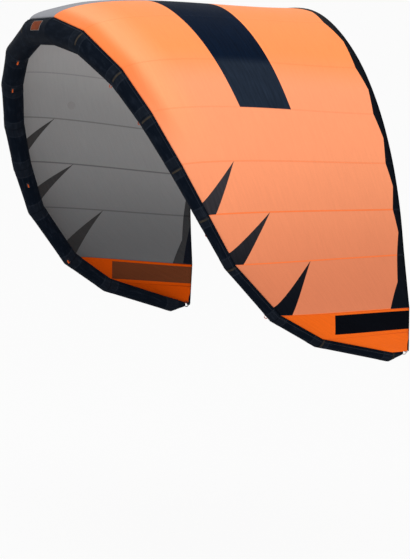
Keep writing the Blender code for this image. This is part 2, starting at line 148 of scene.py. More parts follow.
def tube_centres():
    """Middle of the tube at every kink, swept back more and more towards the tip."""
    points = []
    for index, distance in enumerate(FRONT):
        x, z = arch_point(ARCH_HALF_WIDTH, ARCH_HEIGHT, ARCH_POWER, distance)
        if index <= LAST_PLAIN:
            y = REAR_Y * SWEEP_SHARE * distance ** 2
        else:
            slant = REAR_Y * TIP_SWEEP_SHARES[index - LAST_PLAIN - 1]
            y = points[-1].y + (distance - FRONT[index - 1]) * slant
        points.append(Vector((x, y, z - TUBE_RADIUS_CENTRE)))
    along = (points[-1] - points[-2]).normalized()
    level = Vector((along.x, along.y, 0.0)).normalized()
    points.append(points[-1] + level * TUBE_END_LENGTH)
    return points


CENTRES = tube_centres()
STATIONS = len(CENTRES)
print("tube kinks on a half:", STATIONS)

# %% [markdown]
# A curve with a bevel would make a tube in one step, but it would smooth away the kinks between the
# straight segments. So every kink gets its own cross-section: a radius, a direction away from the
# inside of the kite, and a direction towards its rear.


# %% The tube's cross-sections
def tube_radius(index):
    """The tube is thickest at the middle and narrows evenly to the tip."""
    if index >= STATIONS - 1:
        return TUBE_END_RADIUS
    share = FRONT[index] / FRONT[-1]
    return TUBE_RADIUS_CENTRE + (TUBE_RADIUS_TIP - TUBE_RADIUS_CENTRE) * share


def attach_angle(index):
    """Angle on the tube at which the cloth is sewn, measured from straight out."""
    last = min(index, SEGMENTS)
    share = (FRONT[last] - FRONT[LAST_PLAIN]) / (FRONT[-1] - FRONT[LAST_PLAIN])
    return math.radians(ATTACH_DEG + (TIP_ATTACH_DEG - ATTACH_DEG) * max(share, 0.0))


def tube_frame(index):
    """Outward and rearward directions of the cross-section at a kink."""
    if index == 0:
        along = Vector((1.0, 0.0, 0.0))
    elif index == STATIONS - 1:
        along = (CENTRES[-1] - CENTRES[-2]).normalized()
    else:
        before = (CENTRES[index] - CENTRES[index - 1]).normalized()
        after = (CENTRES[index + 1] - CENTRES[index]).normalized()
        along = (before + after).normalized()
    run = CENTRES[min(index + 1, SEGMENTS)] - CENTRES[min(max(index - 1, 0), SEGMENTS - 1)]
    outward = Vector((-run.z, 0.0, run.x)).normalized()
    if index == 0:
        outward = Vector((0.0, 0.0, 1.0))
    outward = (outward - along * outward.dot(along)).normalized()
    rearward = along.cross(outward)
    if rearward.y + rearward.z < 0.0:
        rearward = -rearward
    return outward, rearward


FRAMES = [tube_frame(index) for index in range(STATIONS)]
print("cross-section frames:", len(FRAMES))

# %% Where the cloth joins the tube
OUTWARD = [outward for outward, rearward in FRAMES]


def ring_point(index, angle, radius):
    """Point at an angle and radius on the cross-section at a kink."""
    outward, rearward = FRAMES[index]
    return CENTRES[index] + (outward * math.cos(angle) + rearward * math.sin(angle)) * radius


ATTACH = [ring_point(index, attach_angle(index), tube_radius(index) + CLOTH_GAP)
          for index in range(STATIONS)]
print("joint at the tip:", [round(value, 3) for value in ATTACH[-1]])

# %% [markdown]
# The trailing edge is a second arch behind the tube, a little hollow in the middle. The tip panel
# closes the gap between the end of this arch and the end of the tube.


# %% The trailing edge
def trailing_points():
    """Rear ends of the seams, from the middle to the corner of the tip."""
    points = []
    for distance in REAR:
        x, z = arch_point(REAR_HALF_WIDTH, REAR_HEIGHT, REAR_POWER, distance)
        away = (distance / REAR[-1] - REAR_HOLLOW_PLACE) / (1.0 - REAR_HOLLOW_PLACE)
        y = REAR_Y - REAR_HOLLOW + REAR_FLARE * away ** 2
        points.append(Vector((x, y, z + REAR_APEX_RISE - TUBE_RADIUS_CENTRE)))
    start = points[-1]
    corner = ATTACH[SEGMENTS].lerp(ATTACH[-1], TIP_CORNER_SHARE)
    return points + [start.lerp(corner, share) for share in TIP_REAR_SHARES]


TRAILING = trailing_points()
print("trailing edge ends at", [round(value, 3) for value in TRAILING[-1]])

# %% [markdown]
# The cloth between the two arches bulges like an aeroplane wing. The kite in the photograph hangs a
# little twisted, so the last step for any point is to mirror it to its half and to add that twist.


# %% Camber and twist
def camber_shape(share):
    """Bulge of the cloth along a chord, 1 at its highest point."""
    top = CAMBER_FRONT_POWER / (CAMBER_FRONT_POWER + CAMBER_REAR_POWER)
    peak = top ** CAMBER_FRONT_POWER * (1.0 - top) ** CAMBER_REAR_POWER
    return share ** CAMBER_FRONT_POWER * (1.0 - share) ** CAMBER_REAR_POWER / peak


def place(point, side):
    """Mirror a near-half point to its side, then add the twist of the hung kite."""
    x = point.x * side
    angle = math.radians(WING_TWIST_DEG) * x / ARCH_HALF_WIDTH
    y = point.y - TWIST_AXIS_Y
    z = point.z - TWIST_AXIS_Z
    turned_y = y * math.cos(angle) - z * math.sin(angle)
    turned_z = y * math.sin(angle) + z * math.cos(angle)
    return Vector((x, TWIST_AXIS_Y + turned_y, TWIST_AXIS_Z + turned_z))


def seam_ends(station):
    """The panel a station is in, its share of that panel, and its points on tube and trailing edge."""
    low = min(int(station), SEGMENTS - 1)
    share = station - low
    front = ATTACH[low].lerp(ATTACH[low + 1], share)
    rear = TRAILING[low].lerp(TRAILING[low + 1], share)
    return low, share, front, rear


def chord_length(station):
    low, share, front, rear = seam_ends(station)
    return (rear - front).length


print("chord at the middle:", round(chord_length(0), 2), "m,",
      "at the tip:", round(chord_length(SEGMENTS), 2), "m")

# %% [markdown]
# Straight lines between the seams would fold the cloth at each one, and a flying kite shows no such
# folds. A Hermite curve runs through the seams instead, with a shared direction at each seam. At the
# tube the cloth is sewn to straight segments, so the curve fades in over the first part of the chord.

# %% A curve that flows over the seams
FLOW_START = 0.20


def seam_point(number, chord_share):
    """Point on one seam of the near half. Seam -1 is seam 1 of the other half."""
    front, rear = ATTACH[abs(number)], TRAILING[abs(number)]
    flat_end = min(1.0, TIP_CAMBER_SHARE + SEGMENTS - abs(number))
    rise = CAMBER * (rear - front).length * camber_shape(chord_share) * flat_end
    point = front.lerp(rear, chord_share) + OUTWARD[abs(number)] * rise
    return Vector((-point.x, point.y, point.z)) if number < 0 else point


def seam_slope(number, chord_share):
    """Direction in which the cloth runs over a seam, so that it flows on without a fold."""
    here = seam_point(number, chord_share)
    back = here - seam_point(number - 1, chord_share)
    if number == PANELS:
        return back.normalized()
    ahead = seam_point(number + 1, chord_share) - here
    both = back.length + ahead.length
    return (back.normalized() * ahead.length + ahead.normalized() * back.length) / both


def flowing_point(station, chord_share):
    """Smooth curve through the seams at one chord share."""
    low = min(int(station), PANELS - 1)
    t = station - low
    first, last = seam_point(low, chord_share), seam_point(low + 1, chord_share)
    width = (last - first).length
    start, end = seam_slope(low, chord_share) * width, seam_slope(low + 1, chord_share) * width
    return (first * (2 * t ** 3 - 3 * t ** 2 + 1) + start * (t ** 3 - 2 * t ** 2 + t)
            + last * (3 * t ** 2 - 2 * t ** 3) + end * (t ** 3 - t ** 2))


middle_of_panel = flowing_point(0.5, 0.5)
print("middle of the first panel:", [round(value, 3) for value in middle_of_panel])


# %% Any point of the cloth
def cloth_point(station, chord_share, side, proud=0.0):
    """Point of the cloth on a half, moved out by proud metres."""
    low, share, front, rear = seam_ends(station)
    outward = OUTWARD[low].lerp(OUTWARD[low + 1], share).normalized()
    width = (ATTACH[low + 1] - ATTACH[low]).length
    flat_end = min(1.0, TIP_CAMBER_SHARE + SEGMENTS - station)
    rise = CAMBER * (rear - front).length * camber_shape(chord_share) * flat_end
    bulge = BILLOW * width * math.sin(math.pi * share) * math.sin(math.pi * chord_share)
    point = front.lerp(rear, chord_share) + outward * rise
    if station < PANELS:
        away = min(chord_share / FLOW_START, 1.0)
        point = point.lerp(flowing_point(station, chord_share), away * away * (3.0 - 2.0 * away))
    return place(point + outward * (bulge + proud), side)


print("crown of the canopy:", [round(value, 3) for value in cloth_point(0.0, 0.25, 1)])


# %% Width of the trailing band
def band_width(station):
    """The band is wide at the seams and narrow between them, so its inner edge is a zigzag."""
    low = min(int(station), PANELS - 1)
    share = station - low
    middle, last = BAND_AT_MIDDLE, BAND_AT_SEAM
    if low == PANELS - 1:
        middle, last = BAND_LAST_MIDDLE, BAND_AT_TIP_SEAM
    if share < 0.5:
        return BAND_AT_SEAM + (middle - BAND_AT_SEAM) * share * 2.0
    return middle + (last - middle) * (share - 0.5) * 2.0


print("band:", round(band_width(0.0), 3), "m at the middle,", round(band_width(0.5), 3), "m beside it")

# %% [markdown]
# ## Shader maths as plain sums
# Every finish below is made of nodes. Wiring them one by one is long to read, so one small class
# wraps a socket. Adding or multiplying two of them adds a Math node, and one method adds any other
# node. Colours go through a Mix node, because a Math node would turn them grey.


# %% A socket that can be added and multiplied
class Thread:
    """One output of a node, which can be used in sums."""

    def __init__(self, socket):
        self.socket = socket
        self.tree = socket.id_data

    def node(self, kind, settings, inputs, out=0):
        """Add any node: its settings first, then the values or links of its sockets."""
        made = self.tree.nodes.new(kind)
        for name, value in settings.items():
            setattr(made, name, value)
        for name, value in inputs.items():
            self.plug(made.inputs[name], value)
        return Thread(made.outputs[out])

    def plug(self, socket, value):
        if isinstance(value, Thread):
            self.tree.links.new(value.socket, socket)
        elif isinstance(value, tuple) and len(value) == 3 and socket.type == "RGBA":
            socket.default_value = (*value, 1.0)
        else:
            socket.default_value = value

    def maths(self, operation, first, second=0.0):
        return self.node("ShaderNodeMath", {"operation": operation}, {0: first, 1: second})

    def __add__(self, other):
        return self.maths("ADD", self, other)

    def __radd__(self, other):
        return self.maths("ADD", other, self)

    def __sub__(self, other):
        return self.maths("SUBTRACT", self, other)

    def __rsub__(self, other):
        return self.maths("SUBTRACT", other, self)

    def __mul__(self, other):
        return self.maths("MULTIPLY", self, other)

    def __rmul__(self, other):
        return self.maths("MULTIPLY", other, self)

    def __lt__(self, other):
        return self.maths("LESS_THAN", self, other)

    def up_to(self, other):
        return self.maths("MINIMUM", self, other)

    def at_least(self, other):
        return self.maths("MAXIMUM", self, other)

    def size(self):
        return self.maths("ABSOLUTE", self)

    def saw(self, length):
        """Distance from the nearest of evenly spaced lines."""
        return self.maths("PINGPONG", self, length / 2.0)

    def fade(self, low, high):
        """0 below low, 1 above high, smooth between."""
        return self.node("ShaderNodeMapRange", {"interpolation_type": "SMOOTHSTEP"},
                         {"Value": self, "From Min": low, "From Max": high})

    def mix(self, first, second):
        """This number picks between two colours."""
        return self.node("ShaderNodeMix", {"data_type": "RGBA"}, {0: self, 6: first, 7: second}, 2)

    def tint(self, factor, colour):
        """Multiply this colour by another, as far as the factor says."""
        return self.node("ShaderNodeMix", {"data_type": "RGBA", "blend_type": "MULTIPLY"},
                         {0: factor, 6: self, 7: colour}, 2)


print("a Thread wraps one socket")


# %% Screen colours
def paint(red, green, blue):
    """A screen colour from 0 to 255 as the linear numbers a shader takes."""
    shares = [value / 255.0 for value in (red, green, blue)]
    return tuple(s / 12.92 if s <= 0.04045 else ((s + 0.055) / 1.055) ** 2.4 for s in shares)


print("paint(128, 128, 128) is", [round(value, 3) for value in paint(128, 128, 128)])


# %% A new finish to fill in
class Finish:
    """A material with its Principled shader, and shortcuts to what is stored on the mesh."""

    def __init__(self, name, **plain):
        self.material = bpy.data.materials.new(name)
        self.material.use_nodes = True
        self.shader = self.material.node_tree.nodes["Principled BSDF"]
        self.start = Thread(self.shader.outputs[0])
        for socket, value in plain.items():
            self.set(socket.replace("_", " "), value)

    def set(self, socket, value):
        self.start.plug(self.shader.inputs[socket], value)

    def stored(self, name):
        """A number stored on the mesh, such as the distance to a seam."""
        return self.start.node("ShaderNodeAttribute", {"attribute_name": name}, {}, 2)

    def flat(self):
        """Where a point lies on the flat cloth, in metres: along, across."""
        uv = self.start.node("ShaderNodeUVMap", {"uv_map": "flat"}, {})
        return (self.start.node("ShaderNodeSeparateXYZ", {}, {0: uv}, 0),
                self.start.node("ShaderNodeSeparateXYZ", {}, {0: uv}, 1))

    def at(self, x, y):
        """Two numbers as a place for a texture."""
        return self.start.node("ShaderNodeCombineXYZ", {}, {0: x, 1: y})

    def here(self):
        """Place on the object itself, in metres."""
        return self.start.node("ShaderNodeTexCoord", {}, {}, 3)

    def noise(self, where, scale, detail=2.0, rough=0.5):
        return self.start.node("ShaderNodeTexNoise", {},
                               {"Vector": where, "Scale": scale, "Detail": detail, "Roughness": rough})

    def bump(self, height, strength, distance):
        return self.start.node("ShaderNodeBump", {},
                               {"Height": height, "Strength": strength, "Distance": distance})


print("finishes start from the Principled shader")

# %% [markdown]
# ## Ripstop canopy cloth
# The canopy is a thin polyester cloth with a grid of thicker threads every few millimetres, coated
# so that it holds air. Panels are sewn with an overlap and two rows of stitches, and the cloth
# pulls into faint creases that run away from the tube. An image could show all this, but nodes keep
# it sharp at any distance. The grid and stitches come from the flat coordinates of the cloth, and
# the seams from a distance stored on the mesh.

# %% Threads, laps and stitches
GRID, THREAD_HALF = 0.006, 0.0005
SEAM_HALF = 0.0065
LAP_EDGE, STITCH_ROW = 0.75 * SEAM_HALF, 0.62 * SEAM_HALF
STITCH_PITCH, STITCH_HALF_LENGTH, STITCH_HALF_WIDTH = 0.0042, 0.0014, 0.0007


def sewn_marks(cloth):
    """Masks of the thick threads, of the overlap at a seam, and of its stitches."""
    along, across = cloth.flat()
    seam = cloth.stored("seam")
    threads = (along.saw(GRID) < THREAD_HALF).at_least(across.saw(GRID) < THREAD_HALF)
    lap = 1.0 - seam.fade(LAP_EDGE, SEAM_HALF)
    row = (seam - STITCH_ROW).size() < STITCH_HALF_WIDTH
    return threads, lap, row * (across.saw(STITCH_PITCH) < STITCH_HALF_LENGTH)


print("a seam overlaps by", round(SEAM_HALF * 2000, 1), "mm")

# %% Creases and puckers
CREASE_HEIGHT, CREASE_REACH = 0.0035, (0.02, 0.55)
HEM_REACH = (0.02, 0.25)
SEAM_PUCKER_HEIGHT, SEAM_PUCKER_REACH = 0.0016, (0.0, 0.05)


def wrinkles(cloth):
    """Height in metres of the creases at the tube and the hem, and of the puckers at the seams."""
    along, across = cloth.flat()
    seam = cloth.stored("seam")
    crease = cloth.noise(cloth.at(along * 26.0, across * 1.6), 1.0, 3.0, 0.6)
    pull = 1.0 - cloth.stored("front").fade(*CREASE_REACH) * 0.8
    hem_pull = 1.0 - cloth.stored("rear").fade(*HEM_REACH) * 0.9
    puckers = cloth.noise(cloth.at(across * 60.0, seam * 14.0), 1.0, 1.0)
    beside_seam = 1.0 - seam.fade(*SEAM_PUCKER_REACH)
    creased = crease * pull.at_least(hem_pull) * CREASE_HEIGHT
    return creased + puckers * beside_seam * SEAM_PUCKER_HEIGHT


print("creases are up to", CREASE_HEIGHT * 1000, "mm high")

# %% Ripstop finish
TIP_CHANGE = (3.6, 7.0)
# Where painted light lies on the upper panels: a painted highlight a little behind the tube, and
# painted shade right at it.
UPPER_PANEL_FADE, HIGHLIGHT_START, HIGHLIGHT_END = (2.4, 4.0), (0.02, 0.12), (0.14, 0.42)
TUBE_SHADE_END, TUBE_SHADE_ORANGE = (0.03, 0.15), paint(240, 116, 56)


def ripstop(name, top, middle, low, seam_colour, tone_swing=0.05, gloss=0.10,
            seam_show=(3.4, 5.2), painted_highlight=None, change=(1.7, 2.6)):
    """Cloth whose colour runs from top, at the middle of the kite, through middle to low at the tip."""
    cloth = Finish(name, Specular_IOR_Level=gloss)
    along, across = cloth.flat()
    span, front, tone = cloth.stored("span"), cloth.stored("front"), cloth.stored("tone")
    threads, lap, stitch = sewn_marks(cloth)
    patchy = cloth.noise(cloth.at(along, across), 2.6, 3.0)
    streaks = cloth.noise(cloth.at(along * 5.0, across * 55.0 + along * 9.0), 1.0, 3.0, 0.6)
    colour = span.fade(*change).mix(top, middle)
    colour = span.fade(*TIP_CHANGE).mix(colour, low)
    # Painted highlight: a paler, pinker band a little behind the tube on the upper panels.
    if painted_highlight:
        upper_panels = 1.0 - span.fade(*UPPER_PANEL_FADE)
        paler = front.fade(*HIGHLIGHT_START) * (1.0 - front.fade(*HIGHLIGHT_END)) * upper_panels
        colour = (paler * 0.85).mix(colour, painted_highlight)
        # Painted shade: a deeper orange right at the tube on the upper panels.
        tube_shade = (1.0 - front.fade(*TUBE_SHADE_END)) * upper_panels
        colour = (tube_shade * 0.7).mix(colour, TUBE_SHADE_ORANGE)
    soft = (patchy + streaks * 2.5 - 1.75) * tone_swing + (tone - 0.5) * 0.03 + 1.0
    shade = cloth.start.node("ShaderNodeCombineColor", {}, {0: soft, 1: soft, 2: soft})
    colour = colour.tint(1.0, shade).tint(threads * 0.10, (0.35, 0.35, 0.35))
    colour = (lap * (span.fade(*seam_show) * 0.7 + 0.14)).mix(colour, seam_colour)
    cloth.set("Base Color", colour.tint(stitch * 0.6, (0.5, 0.5, 0.5)))
    cloth.set("Roughness", 0.58 + (patchy - 0.5) * 0.12 - threads * 0.06)
    height = wrinkles(cloth) + patchy * 0.006 + streaks * 0.0026
    height = height + lap * 0.0006 + threads * 0.00012 + stitch * 0.0002
    cloth.set("Normal", cloth.bump(height, 0.55, 1.0))
    return cloth.material


print("ripstop is ready for its colours")

# %% Light cloths, outside and inside
# The orange's low colour, darker towards the tip, is painted shade.
ORANGE = ripstop("orange_ripstop", paint(248, 142, 80), paint(248, 152, 107), paint(222, 128, 89),
                 paint(255, 122, 58), painted_highlight=paint(254, 158, 106))
GREY = ripstop("grey_ripstop", *[paint(133, 134, 140)] * 3, paint(120, 120, 126))
TIP = ripstop("tip_ripstop", *[paint(242, 102, 14)] * 3, paint(225, 84, 10), 0.14)
# The inside orange darkens towards the tip as painted shade.
ORANGE_IN = ripstop("orange_ripstop_inside", paint(226, 123, 70), paint(222, 120, 70),
                    paint(186, 100, 62), paint(176, 82, 38))
# The inside grey darkens from the middle towards the tip as painted shade.
GREY_IN = ripstop("grey_ripstop_inside", paint(176, 179, 180), paint(148, 151, 152),
                  paint(95, 97, 99), paint(86, 88, 90), seam_show=(2.0, 6.0), change=(2.4, 4.0))
TIP_IN = ripstop("tip_ripstop_inside", *[paint(198, 74, 3)] * 3, paint(150, 52, 4), gloss=0.02)
print("light cloths:", [cloth.name for cloth in (ORANGE, GREY, TIP, ORANGE_IN, GREY_IN, TIP_IN)])

# %% Dark reinforcement cloth
# A look is how far the tone of a cloth swings, and its gloss.
INK, INK_SEAM, INK_LOOK = paint(12, 16, 23), paint(30, 34, 42), (0.35, 0.015)
INSIDE_LOOK = (0.20, 0.05)
DARK = ripstop("dark_ripstop", *[paint(57, 54, 58)] * 2, INK, INK_SEAM, *INK_LOOK)
STRIPE = ripstop("stripe_cloth_navy", paint(7, 20, 38), *[paint(30, 39, 52)] * 2, paint(34, 44, 60),
                 0.45, 0.01, change=(1.9, 2.1))
BAND = ripstop("trailing_band_cloth", *[INK] * 3, INK_SEAM, *INK_LOOK)
EDGE = ripstop("edge_tape_cloth", *[INK] * 3, INK_SEAM, *INK_LOOK)
PLAQUE = ripstop("tip_rectangle_cloth", *[paint(6, 8, 14)] * 3, INK_SEAM, *INK_LOOK)
DARK_IN = ripstop("dark_ripstop_inside", *[paint(64, 64, 65)] * 2, paint(50, 50, 51),
                  paint(44, 44, 45), *INSIDE_LOOK)
STRIPE_IN = ripstop("stripe_inside", *[paint(40, 48, 60)] * 3, paint(30, 34, 40), *INSIDE_LOOK)
BAND_IN = ripstop("trailing_band_inside", *[paint(50, 51, 53)] * 3, paint(34, 35, 37), *INSIDE_LOOK)
EDGE_IN = ripstop("edge_tape_inside", *[paint(16, 20, 29)] * 3, INK_SEAM, 0.20, 0.015)
PLAQUE_IN = ripstop("tip_rectangle_inside", *[paint(97, 50, 26)] * 3, paint(70, 36, 18), *INSIDE_LOOK)
OUTER = [ORANGE, GREY, TIP, DARK, BAND, PLAQUE, STRIPE, EDGE]
INNER = [ORANGE_IN, GREY_IN, TIP_IN, DARK_IN, BAND_IN, PLAQUE_IN, STRIPE_IN, EDGE_IN]
print("dark cloths:", [cloth.name for cloth in OUTER[3:] + INNER[3:]])

# %% [markdown]
# ## One continuous canopy
# A sewn canopy is a single sheet, so it is one mesh from tip to tip. It starts as a flat grid whose
# coordinates are station and chord share. While it is flat, straight cuts draw the outlines of the
# darts, the stripe, the trailing band with its edge tape, the tip rectangles and the dark tip
# corners, like a knife on a cutting table. Then every corner is moved to its place in the air.

# %% A flat grid on the cutting table
COLUMNS = 8
ROWS = 36
ROW_POWER = 1.6
row_shares = [(row / ROWS) ** ROW_POWER for row in range(ROWS + 1)]
flat_cloth = bmesh.new()
grid = []
for column in range(-SEGMENTS * COLUMNS, SEGMENTS * COLUMNS + 1):
    grid.append([flat_cloth.verts.new((column / COLUMNS, share, 0.0)) for share in row_shares])
for left, right in zip(grid, grid[1:]):
    for row in range(ROWS):
        flat_cloth.faces.new((left[row], right[row], right[row + 1], left[row + 1]))
print("flat grid:", len(flat_cloth.faces), "faces")

# %% Outlines of the coloured shapes
# A dart is its apex (station, share), the station of its corner at the tube, and the share at
# which it meets the next seam. Every other outline is a list of (station, share) points.
DARTS = {1: ((4.0, 0.215, 4.755, 0.026), (5.0, 0.285, 5.76, 0.034), (6.0, 0.410, 6.84, 0.068)),
         -1: ((4.0, 0.265, 4.755, 0.036), (5.0, 0.345, 5.76, 0.046), (6.0, 0.470, 6.84, 0.080))}
STRIPE_END = 3.0
STRIPE_FIRST = ((0.0, 0.370), (STRIPE_END, 0.357))
STRIPE_LAST = ((0.0, 0.615), (STRIPE_END, 0.586))
RECTANGLE = ((7.10, 0.365), (7.11, 1.0), (7.88, 1.0), (7.85, 0.170))
CORNER = ((8.30, 1.0), (9.0, 0.93))
EDGE_TAPE_WIDTH = 0.085
EDGE_TAPE = ((6.15, 1.0), (7.0, 1.0 - EDGE_TAPE_WIDTH / chord_length(7.0)))
print("darts on a half:", len(DARTS[1]))

# %% Straight lines on the cloth
INSIDE_LAST_PANEL = PANELS - 1e-6


def band_start(station):
    """Chord share at which the trailing band starts."""
    inside = min(station, INSIDE_LAST_PANEL)
    return 1.0 - band_width(inside) / chord_length(inside)


def straight_share(start, end, station):
    """Chord share on a line that is straight on the cloth, between two (station, share) points."""
    first = start[1] * chord_length(start[0])
    last = end[1] * chord_length(end[0])
    down = first + (last - first) * (station - start[0]) / (end[0] - start[0])
    return down / chord_length(station)


print("trailing band starts at share", round(band_start(0.0), 3), "in the middle")

# %% A cut with the knife
CUT_SNAP = 1e-5


def cut(side, first, last, start, end):
    """Cut the cloth between two stations of a half along the line from start to end."""
    faces = [face for face in flat_cloth.faces if first < side * face.calc_center_median().x < last]
    edges = {edge for face in faces for edge in face.edges}
    corners = {corner for face in faces for corner in face.verts}
    along = Vector((side * (end[0] - start[0]), end[1] - start[1], 0.0))
    bmesh.ops.bisect_plane(flat_cloth, geom=faces + list(edges) + list(corners), dist=CUT_SNAP,
                           plane_co=(side * start[0], start[1], 0.0),
                           plane_no=along.cross(Vector((0.0, 0.0, 1.0))))


def cut_straight(side, start, end, first, last):
    """Cut a line that is straight on the cloth, in short steps, between two stations."""
    for step in range(int(round((last - first) * COLUMNS))):
        here = first + step / COLUMNS
        there = here + 1.0 / COLUMNS
        cut(side, here, there, (here, straight_share(start, end, here)),
            (there, straight_share(start, end, there)))


print("a straight cut takes", COLUMNS, "steps over a panel")

# %% Cut both halves, then the stripe
for side in (1, -1):
    for half_panel in range(2 * PANELS):
        first, last = half_panel / 2.0, half_panel / 2.0 + 0.5
        cut(side, first, last, (first, band_start(first)), (last, band_start(last)))
    for apex, apex_share, left, right_share in DARTS[side]:
        cut_straight(side, (apex, apex_share), (left, 0.0), apex, apex + 1.0)
        cut_straight(side, (apex, apex_share), (apex + 1.0, right_share), apex, apex + 1.0)
    for start, end in ((RECTANGLE[0], RECTANGLE[1]), (RECTANGLE[3], RECTANGLE[2])):
        cut(side, PANELS, PANELS + 1.0, start, end)
    cut_straight(side, RECTANGLE[0], RECTANGLE[3], PANELS, PANELS + 1.0)
    cut(side, PANELS + 1.0, SEGMENTS, *CORNER)
    cut(side, PANELS - 1.0, PANELS, *EDGE_TAPE)
for start, end in (STRIPE_FIRST, STRIPE_LAST):
    cut(1, 0.0, STRIPE_END, start, end)
print("after the cuts:", len(flat_cloth.faces), "faces")


# %% Which cloth each face is
def line_height(start, end, station):
    """Share at which a line on the cutting table passes a station."""
    return start[1] + (end[1] - start[1]) * (station - start[0]) / (end[0] - start[0])


def line_station(start, end, share):
    """Station at which a line on the cutting table passes a share."""
    return start[0] + (end[0] - start[0]) * (share - start[1]) / (end[1] - start[1])


def tip_kind(station, share):
    """Cloth of the tip panel: its dark corner, its rectangle, or plain."""
    if share > line_height(*CORNER, station):
        return EDGE
    top = line_station(RECTANGLE[0], RECTANGLE[1], share)
    low = line_station(RECTANGLE[3], RECTANGLE[2], share)
    inward = straight_share(RECTANGLE[0], RECTANGLE[3], station)
    return PLAQUE if top < station < low and share > inward else TIP


def in_dart(station, share, dart):
    """Whether a point lies between the two sides of a dart."""
    apex, apex_share, left, right_share = dart
    if not apex < station < apex + 1.0:
        return False
    over_left = share > straight_share((apex, apex_share), (left, 0.0), station)
    return over_left and share < straight_share((apex, apex_share), (apex + 1.0, right_share), station)


def cloth_kind(signed_station, share):
    """Cloth at a point of the cutting table. Stations of the far half are below 0."""
    station = abs(signed_station)
    if station > PANELS:
        return tip_kind(station, share)
    half = int(station * 2.0) / 2.0
    if share > line_height((half, band_start(half)), (half + 0.5, band_start(half + 0.5)), station):
        return EDGE if share > line_height(*EDGE_TAPE, station) else BAND
    if any(in_dart(station, share, dart) for dart in DARTS[1 if signed_station > 0.0 else -1]):
        return DARK
    if 0.0 < signed_station < STRIPE_END:
        if line_height(*STRIPE_FIRST, station) < share < line_height(*STRIPE_LAST, station):
            return STRIPE
    return ORANGE if signed_station > 0.0 else GREY


kinds = []
for face in flat_cloth.faces:
    middle = face.calc_center_median()
    face.material_index = OUTER.index(cloth_kind(middle.x, middle.y))
    face.smooth = True
    kinds.append(face.material_index)
print("faces per cloth:", [kinds.count(index) for index in range(len(OUTER))])

# %% Store what the finish needs
PANEL_TONES = (0.5, 0.8, 0.35, 0.6, 0.25, 0.55, 0.15, 0.6, 0.5)
FAR_FROM_SEAM = 0.3
uv_layer = flat_cloth.loops.layers.uv.new("flat")
stored_names = ("seam", "front", "rear", "tone", "span")
layers = {name: flat_cloth.verts.layers.float.new(name) for name in stored_names}


def seam_distance(station, share):
    """Metres to the nearest seam. The two pieces of the tip have a seam on one side only."""
    low = min(int(station), SEGMENTS - 1)
    here, there = [ATTACH[seam].lerp(TRAILING[seam], share) for seam in (low, low + 1)]
    width = (there - here).length
    if low == SEGMENTS - 1:
        return (station - low) * width
    if low == PANELS:
        return min((station - low) * width, FAR_FROM_SEAM)
    return min(station - low, low + 1 - station) * width


for corner in flat_cloth.verts:
    station, share = abs(corner.co.x), corner.co.y
    corner[layers["seam"]] = seam_distance(station, share)
    corner[layers["front"]] = share * chord_length(station)
    corner[layers["rear"]] = (1.0 - share) * chord_length(station)
    corner[layers["tone"]] = PANEL_TONES[min(int(station), SEGMENTS - 1)]
    corner[layers["span"]] = station
print("stored:", list(layers))

# %% Flat coordinates
REAR_SPREAD = 0.2


def span_at(station, share):
    """Metres from the middle of the kite, a little more towards the longer trailing edge."""
    low = min(int(station), SEGMENTS - 1)
    front = FRONT[low] + (FRONT[low + 1] - FRONT[low]) * (station - low)
    return front * (1.0 + REAR_SPREAD * share)


for face in flat_cloth.faces:
    side = -1.0 if face.calc_center_median().x < 0.0 else 1.0
    for loop in face.loops:
        station, share = abs(loop.vert.co.x), loop.vert.co.y
        loop[uv_layer].uv = (side * span_at(station, share), share * chord_length(station))
print("flat width of a half:", round(span_at(SEGMENTS, 1.0), 2), "m")

# %% Lift the cloth into the air
CLOTH_LIFT = 0.0002
ON_SEAM = 1e-4


def mesh_object(name, maker, finishes=()):
    """Turn a mesh in the making into an object in the scene."""
    mesh = bpy.data.meshes.new(name)
    maker.to_mesh(mesh)
    maker.free()
    for finish in finishes:
        mesh.materials.append(finish)
    made = bpy.data.objects.new(name, mesh)
    bpy.context.scene.collection.objects.link(made)
    return made


for edge in flat_cloth.edges:
    first, second = [corner.co.x for corner in edge.verts]
    on_seam = abs(first - second) < ON_SEAM and abs(first - round(first)) < ON_SEAM
    edge.smooth = not (on_seam and abs(first) > PANELS - 0.5)
for corner in flat_cloth.verts:
    side = -1 if corner.co.x < 0.0 else 1
    corner.co = cloth_point(abs(corner.co.x), min(max(corner.co.y, 0.0), 1.0), side, CLOTH_LIFT)
flat_cloth.normal_update()
middle_face = min(flat_cloth.faces, key=lambda face: abs(face.calc_center_median().x))
if middle_face.normal.z < 0.0:
    bmesh.ops.reverse_faces(flat_cloth, faces=flat_cloth.faces)
canopy_area = sum(face.calc_area() for face in flat_cloth.faces)
canopy = mesh_object("canopy", flat_cloth, OUTER + INNER)
print("canopy area:", round(canopy_area, 2), "square metres")

# %% [markdown]
# The cloth gets a thickness with a Solidify modifier. Its inner skin takes the second set of
# finishes, because light that has come through the cloth makes the inside look darker and greyer.

# %% Thickness and riding
CLOTH_THICKNESS = 0.0012
thick = canopy.modifiers.new("cloth thickness", "SOLIDIFY")
thick.thickness = CLOTH_THICKNESS
thick.offset = 1.0
thick.material_offset = len(OUTER)
thick.material_offset_rim = 0
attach(canopy, "kite")
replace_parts(canopy, *[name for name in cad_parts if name.startswith(("canopy_", "trailing_band"))])
print("canopy is", CLOTH_THICKNESS * 1000, "mm thick")

# %% [markdown]
# ## The casing of the front tube
# The tube is sewn from heavy sailcloth. Each segment is a straight sleeve, and the kinks between
# them give the arch. Blown up hard, the cloth is round and tight along a segment, with small puckers
# at every kink. It is one mesh here, ring after ring, with more rings near the kinks where the
# puckers are.

# %% Sailcloth finish
KINK_BAND = 0.075
WEAVE_PITCH = 0.0016
BAND_STITCH_HALF, BAND_ROW_GAP = 0.0012, 0.006
BAND_STITCH_PITCH, BAND_STITCH_LENGTH = 0.005, 0.0018


